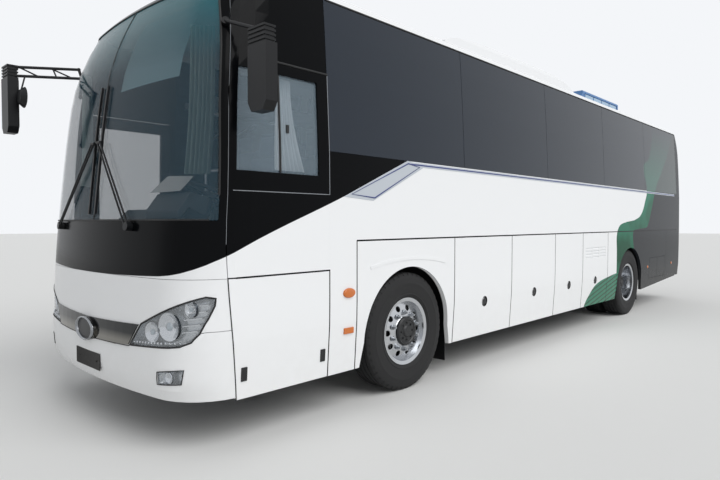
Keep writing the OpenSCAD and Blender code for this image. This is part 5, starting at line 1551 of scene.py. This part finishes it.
markers = bmesh.new()
for side in (1, -1):
    for x in REAR_MARKERS_X:
        centre = at(x, side * side_y(REAR_MARKERS_Z), REAR_MARKERS_Z)
        turned(markers, MARKER_DOME, centre, Vector((0, side, 0)), 32)
new_piece("side_markers_rear", markers, finishes["amber_lens"], sharp=60)
ovals = bmesh.new()
for side in (1, -1):
    centre = at(MARKER_X, side * side_y(LAMP_Z), LAMP_Z)
    before = set(ovals.verts)
    turned(ovals, OVAL_DOME, centre, Vector((0, side, 0)), 48)
    fresh = [v for v in ovals.verts if v not in before]
    bmesh.ops.scale(ovals, verts=fresh, vec=(OVAL_STRETCH, 1, 1), space=Matrix.Translation(-centre))
    wall = side_y(REFLECTOR_Z)
    low, high = sorted((side * (wall - 0.006), side * (wall + 0.012)))
    corner = at(MARKER_X - 0.053, low, REFLECTOR_Z - 0.024)
    block(ovals, corner, at(MARKER_X + 0.053, high, REFLECTOR_Z + 0.024))
new_piece("side_markers_front", ovals, finishes["amber_lens"], sharp=60, bevel=0.002)
print("markers placed")

# %% [markdown]
# The passenger door has a slim handle near its closing edge and a rubber seal behind it. On the left, a
# thin pale line, a painted highlight, follows the front edge of the cab side, and a rubber seal that of the
# service flap. Both edges are read from the imported panels: the foremost point at every few centimetres of
# height.

# %% Door fittings and pillar lines
DOOR_SIDE = skin_of(
    "door_leaf", "cab_side_right", "side_wall_right", "front_mask", "windscreen", "cabin_glass"
)
DOOR_SEAL_X = 0.966


def on_door_side(x, z, out=0.0):
    """The point of the right side at x from the front axle and z."""
    return on_skin(DOOR_SIDE, at(x, -RAY_FROM_SIDE, z), (0, 1, 0), out)


door_seals = [[on_door_side(DOOR_SEAL_X, 0.40 + 0.2 * k, 0.001) for k in range(11)]]
bead("door_seals", door_seals, 0.006, finishes["rubber_seal"])
pull = bmesh.new()
hold = on_door_side(1.035, 1.20)
block(pull, hold - Vector((0.02, 0.004, 0.07)), hold + Vector((0.02, 0.006, 0.07)))
new_piece("door_handle", pull, finishes["wheel_steel"], "passenger_door", bevel=0.003)


def front_edge(node, low, high):
    """The foremost points of a panel at every few centimetres of height."""
    found = {}
    for vert in nodes[node].data.vertices:
        row = round(vert.co.z / 0.06)
        if low < vert.co.z < high and (row not in found or (vert.co.x, vert.co.y) > tuple(found[row].xy)):
            found[row] = vert.co.copy()
    return [found[row] + Vector((0.003, 0, 0)) for row in sorted(found)]


# The pale line on the pillar is a painted highlight along the front edge of the cab side
bead("pillar_line", [front_edge("cab_side_left", 1.3, 3.3)], 0.0016, finishes["pale_line_grey"])
bead("service_flap_seal", [front_edge("service_door_left", 0.0, 1.3)], 0.0042, finishes["rubber_seal"])
print("door and pillar fitted")

# %% [markdown]
# Two small things finish the cab: a blank sheet of paper that leans against the screen on the dashboard,
# and the latch of the driver's sliding pane.

# %% Paper and window latch
PAPER = ((1.985, 0.33, 1.742), (1.985, 0.78, 1.742), (1.925, 0.86, 1.845), (1.925, 0.50, 1.865))

paper = bmesh.new()
plate(paper, [at(*corner) for corner in PAPER], Vector((-0.001, 0, 0)))
new_piece("dash_paper_blank", paper, finishes["paper_white"])
latch = bmesh.new()
hold = on_flank(1.40, 2.19)
block(latch, hold - Vector((0.012, 0.006, 0.03)), hold + Vector((0.012, 0.008, 0.03)))
new_piece("window_latch", latch, finishes["handle_black"], bevel=0.002)
print("paper and latch placed")

# %% [markdown]
# ## Roof units and tail
# The cooler has pale side panels between its rails and fans under guards in its top. A guard is four
# rings of wire on six spokes over the hub of the fan. The roof hatches sit in rubber frames.

# %% Roof details
GUARD_RINGS = (0.045, 0.085, 0.125, 0.16)
GUARD_SPOKES = 6
FANS, FAN_PITCH = 3, 0.42
SIDE_PANELS = 4
HATCHES_X = ((-0.60, 0.10), (-7.30, -6.60))
HATCH_HALF = 0.33


def fan_guard(sheet, centre):
    """Rings and spokes of wire over a fan, with the fan's hub under them."""
    for radius in GUARD_RINGS:
        inner, outer = radius - 0.0025, radius + 0.0025
        section = [(inner, 0.0025), (outer, 0.0025), (outer, -0.0025), (inner, -0.0025)]
        turned(sheet, section, centre, Vector((0, 0, 1)), 40)
    for spoke in range(GUARD_SPOKES):
        turn = spoke * math.tau / GUARD_SPOKES
        arm = Vector((math.cos(turn), math.sin(turn), 0))
        rod(sheet, centre + arm * 0.02, centre + arm * 0.168, 0.003, 8)
    rod(sheet, centre - Vector((0, 0, 0.02)), centre + Vector((0, 0, 0.002)), 0.035, 24)


guards = bmesh.new()
cooler_low, cooler_high = (Vector(corner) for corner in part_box("roof_cooler"))
for k in range(1, FANS + 1):
    fan_guard(guards, Vector((cooler_high.x - FAN_PITCH * k, 0, cooler_high.z - 0.006)))
new_piece("cooler_fan_guards", guards, finishes["handle_black"])
panels = bmesh.new()
panel_pitch = (cooler_high.x - cooler_low.x - 0.26) / SIDE_PANELS
for side in (1, -1):
    for k in range(SIDE_PANELS):
        x0 = cooler_low.x + 0.07 + k * panel_pitch
        y0, y1 = sorted((side * (cooler_high.y - 0.0135), side * (cooler_high.y - 0.0075)))
        block(panels, (x0, y0, 3.418), (x0 + panel_pitch - 0.03, y1, 3.502))
new_piece("cooler_side_panels", panels, finishes["cooler_pale"], bevel=0.002)
hatch_rims = []
for x0, x1 in HATCHES_X:
    corners = [(x0, -HATCH_HALF), (x1, -HATCH_HALF), (x1, HATCH_HALF), (x0, HATCH_HALF)]
    hatch_rims.append([on_skin(ROOF, at(x, y, 6), (0, 0, -1), -0.001) for x, y in corners])
bead("roof_hatch_seals", hatch_rims, 0.006, finishes["rubber_seal"], closed=True)
print(FANS, "fans under guards")

# %% [markdown]
# The tail hatch has a row of slats for the fans behind it and a grip, and it carries them along when it
# opens. Beside it are the lamps with their black surrounds, and below it a blank plate.

# %% Tail details
TAIL = skin_of("rear_hatch", "rear_bumper", "rear_wall")
SLATS, SLAT_Z, SLAT_PITCH = 15, 1.02, 0.03
LAMP_IN, LAMP_OUT = 1.026, 1.116
LAMP_LOW, LAMP_HIGH = 0.956, 1.384


def on_tail(y, z, out=0.0):
    """The point of the tail at y and z."""
    return on_skin(TAIL, Vector((-20, y, z)), (1, 0, 0), out)


slats = [
    [on_tail(0.125 * k, SLAT_Z + SLAT_PITCH * row, -0.005) for k in range(-4, 5)] for row in range(SLATS)
]
bead("hatch_slats", slats, 0.006, finishes["handle_black"], "rear_hatch")
grip = bmesh.new()
hold = on_tail(0, 0.82)
block(grip, hold - Vector((0.001, 0.11, 0.018)), hold + Vector((0.008, 0.11, 0.018)))
new_piece("hatch_grip", grip, finishes["handle_black"], "rear_hatch", bevel=0.004)
LAMP_FRAME = (
    (LAMP_IN, LAMP_LOW), (LAMP_OUT, LAMP_LOW), (LAMP_OUT, LAMP_HIGH), (LAMP_IN, LAMP_HIGH),
    (LAMP_IN, LAMP_LOW),
)
lamp_rims = []
for side in (1, -1):
    lamp_rims.append([on_tail(side * y, z, 0.004) for y, z in LAMP_FRAME])
    for z in (1.10, 1.24):
        lamp_rims.append([on_tail(side * y, z, 0.0135) for y in (1.030, 1.07, 1.112)])
bead("tail_lamp_rims", lamp_rims, 0.004, finishes["rubber_seal"])
blank_plate("rear_plate", on_tail(0, 0.60) - Vector((0.001, 0, 0)), 0.44, 0.115, -1)
print(SLATS, "slats in the tail hatch")

# %% [markdown]
# ## Studio
# A plain pale floor and one soft sun from the front left, as in the photograph, with the world as a
# broad fill, so that the far side and the tail are lit as well. The world shows white to the camera, to
# gloss and through glass, and lights the paint at a plain level.

# %% Floor
FLOOR_R = 80

sheet = bmesh.new()
bmesh.ops.create_circle(sheet, cap_ends=True, segments=96, radius=FLOOR_R)
mesh = bpy.data.meshes.new("studio_floor")
sheet.to_mesh(mesh)
sheet.free()
floor = bpy.data.objects.new("studio_floor", mesh)
bpy.context.scene.collection.objects.link(floor)
floor.data.materials.append(plain("studio_floor_pale", "#e6e6e4", 0.7, 200, 0.0, 0.0))
print("floor", 2 * FLOOR_R, "m across")

# %% [markdown]
# The world gives the fill. Light Path tells which rays come from the camera, from gloss or through glass:
# they meet a white world, and all others a world at half strength, so that nothing is overlit.

# %% World
FILL = 0.5

world = bpy.data.worlds.new("studio")
bpy.context.scene.world = world
world.use_nodes = True
tree = world.node_tree
rays = add(tree, "ShaderNodeLightPath").node.outputs
seen = joined(tree, "MAXIMUM", rays["Is Camera Ray"], rays["Is Transmission Ray"], rays["Is Glossy Ray"])
strength = add(tree, "ShaderNodeMath", (seen, 1 - FILL, FILL), operation="MULTIPLY_ADD")
background = tree.nodes["Background"]
background.inputs["Color"].default_value = srgb("#f4f6f9")
tree.links.new(strength, background.inputs["Strength"])
print("world fill", FILL)

# %% [markdown]
# One broad sun stands in for the bright cloudy sky behind the camera: it is fifty degrees wide, so its
# shadows have no hard edge.

# %% Sun
SUN_STRENGTH = 1.7
SUN_WAY = Vector((0.04, -0.70, -0.71))

sun = bpy.data.lights.new("soft_sun", "SUN")
sun.energy = SUN_STRENGTH
sun.angle = math.radians(50)
holder = bpy.data.objects.new("soft_sun", sun)
bpy.context.scene.collection.objects.link(holder)
holder.location = (3, 5, 11)
holder.rotation_euler = SUN_WAY.to_track_quat("-Z", "Y").to_euler()
print("sun at", SUN_STRENGTH)
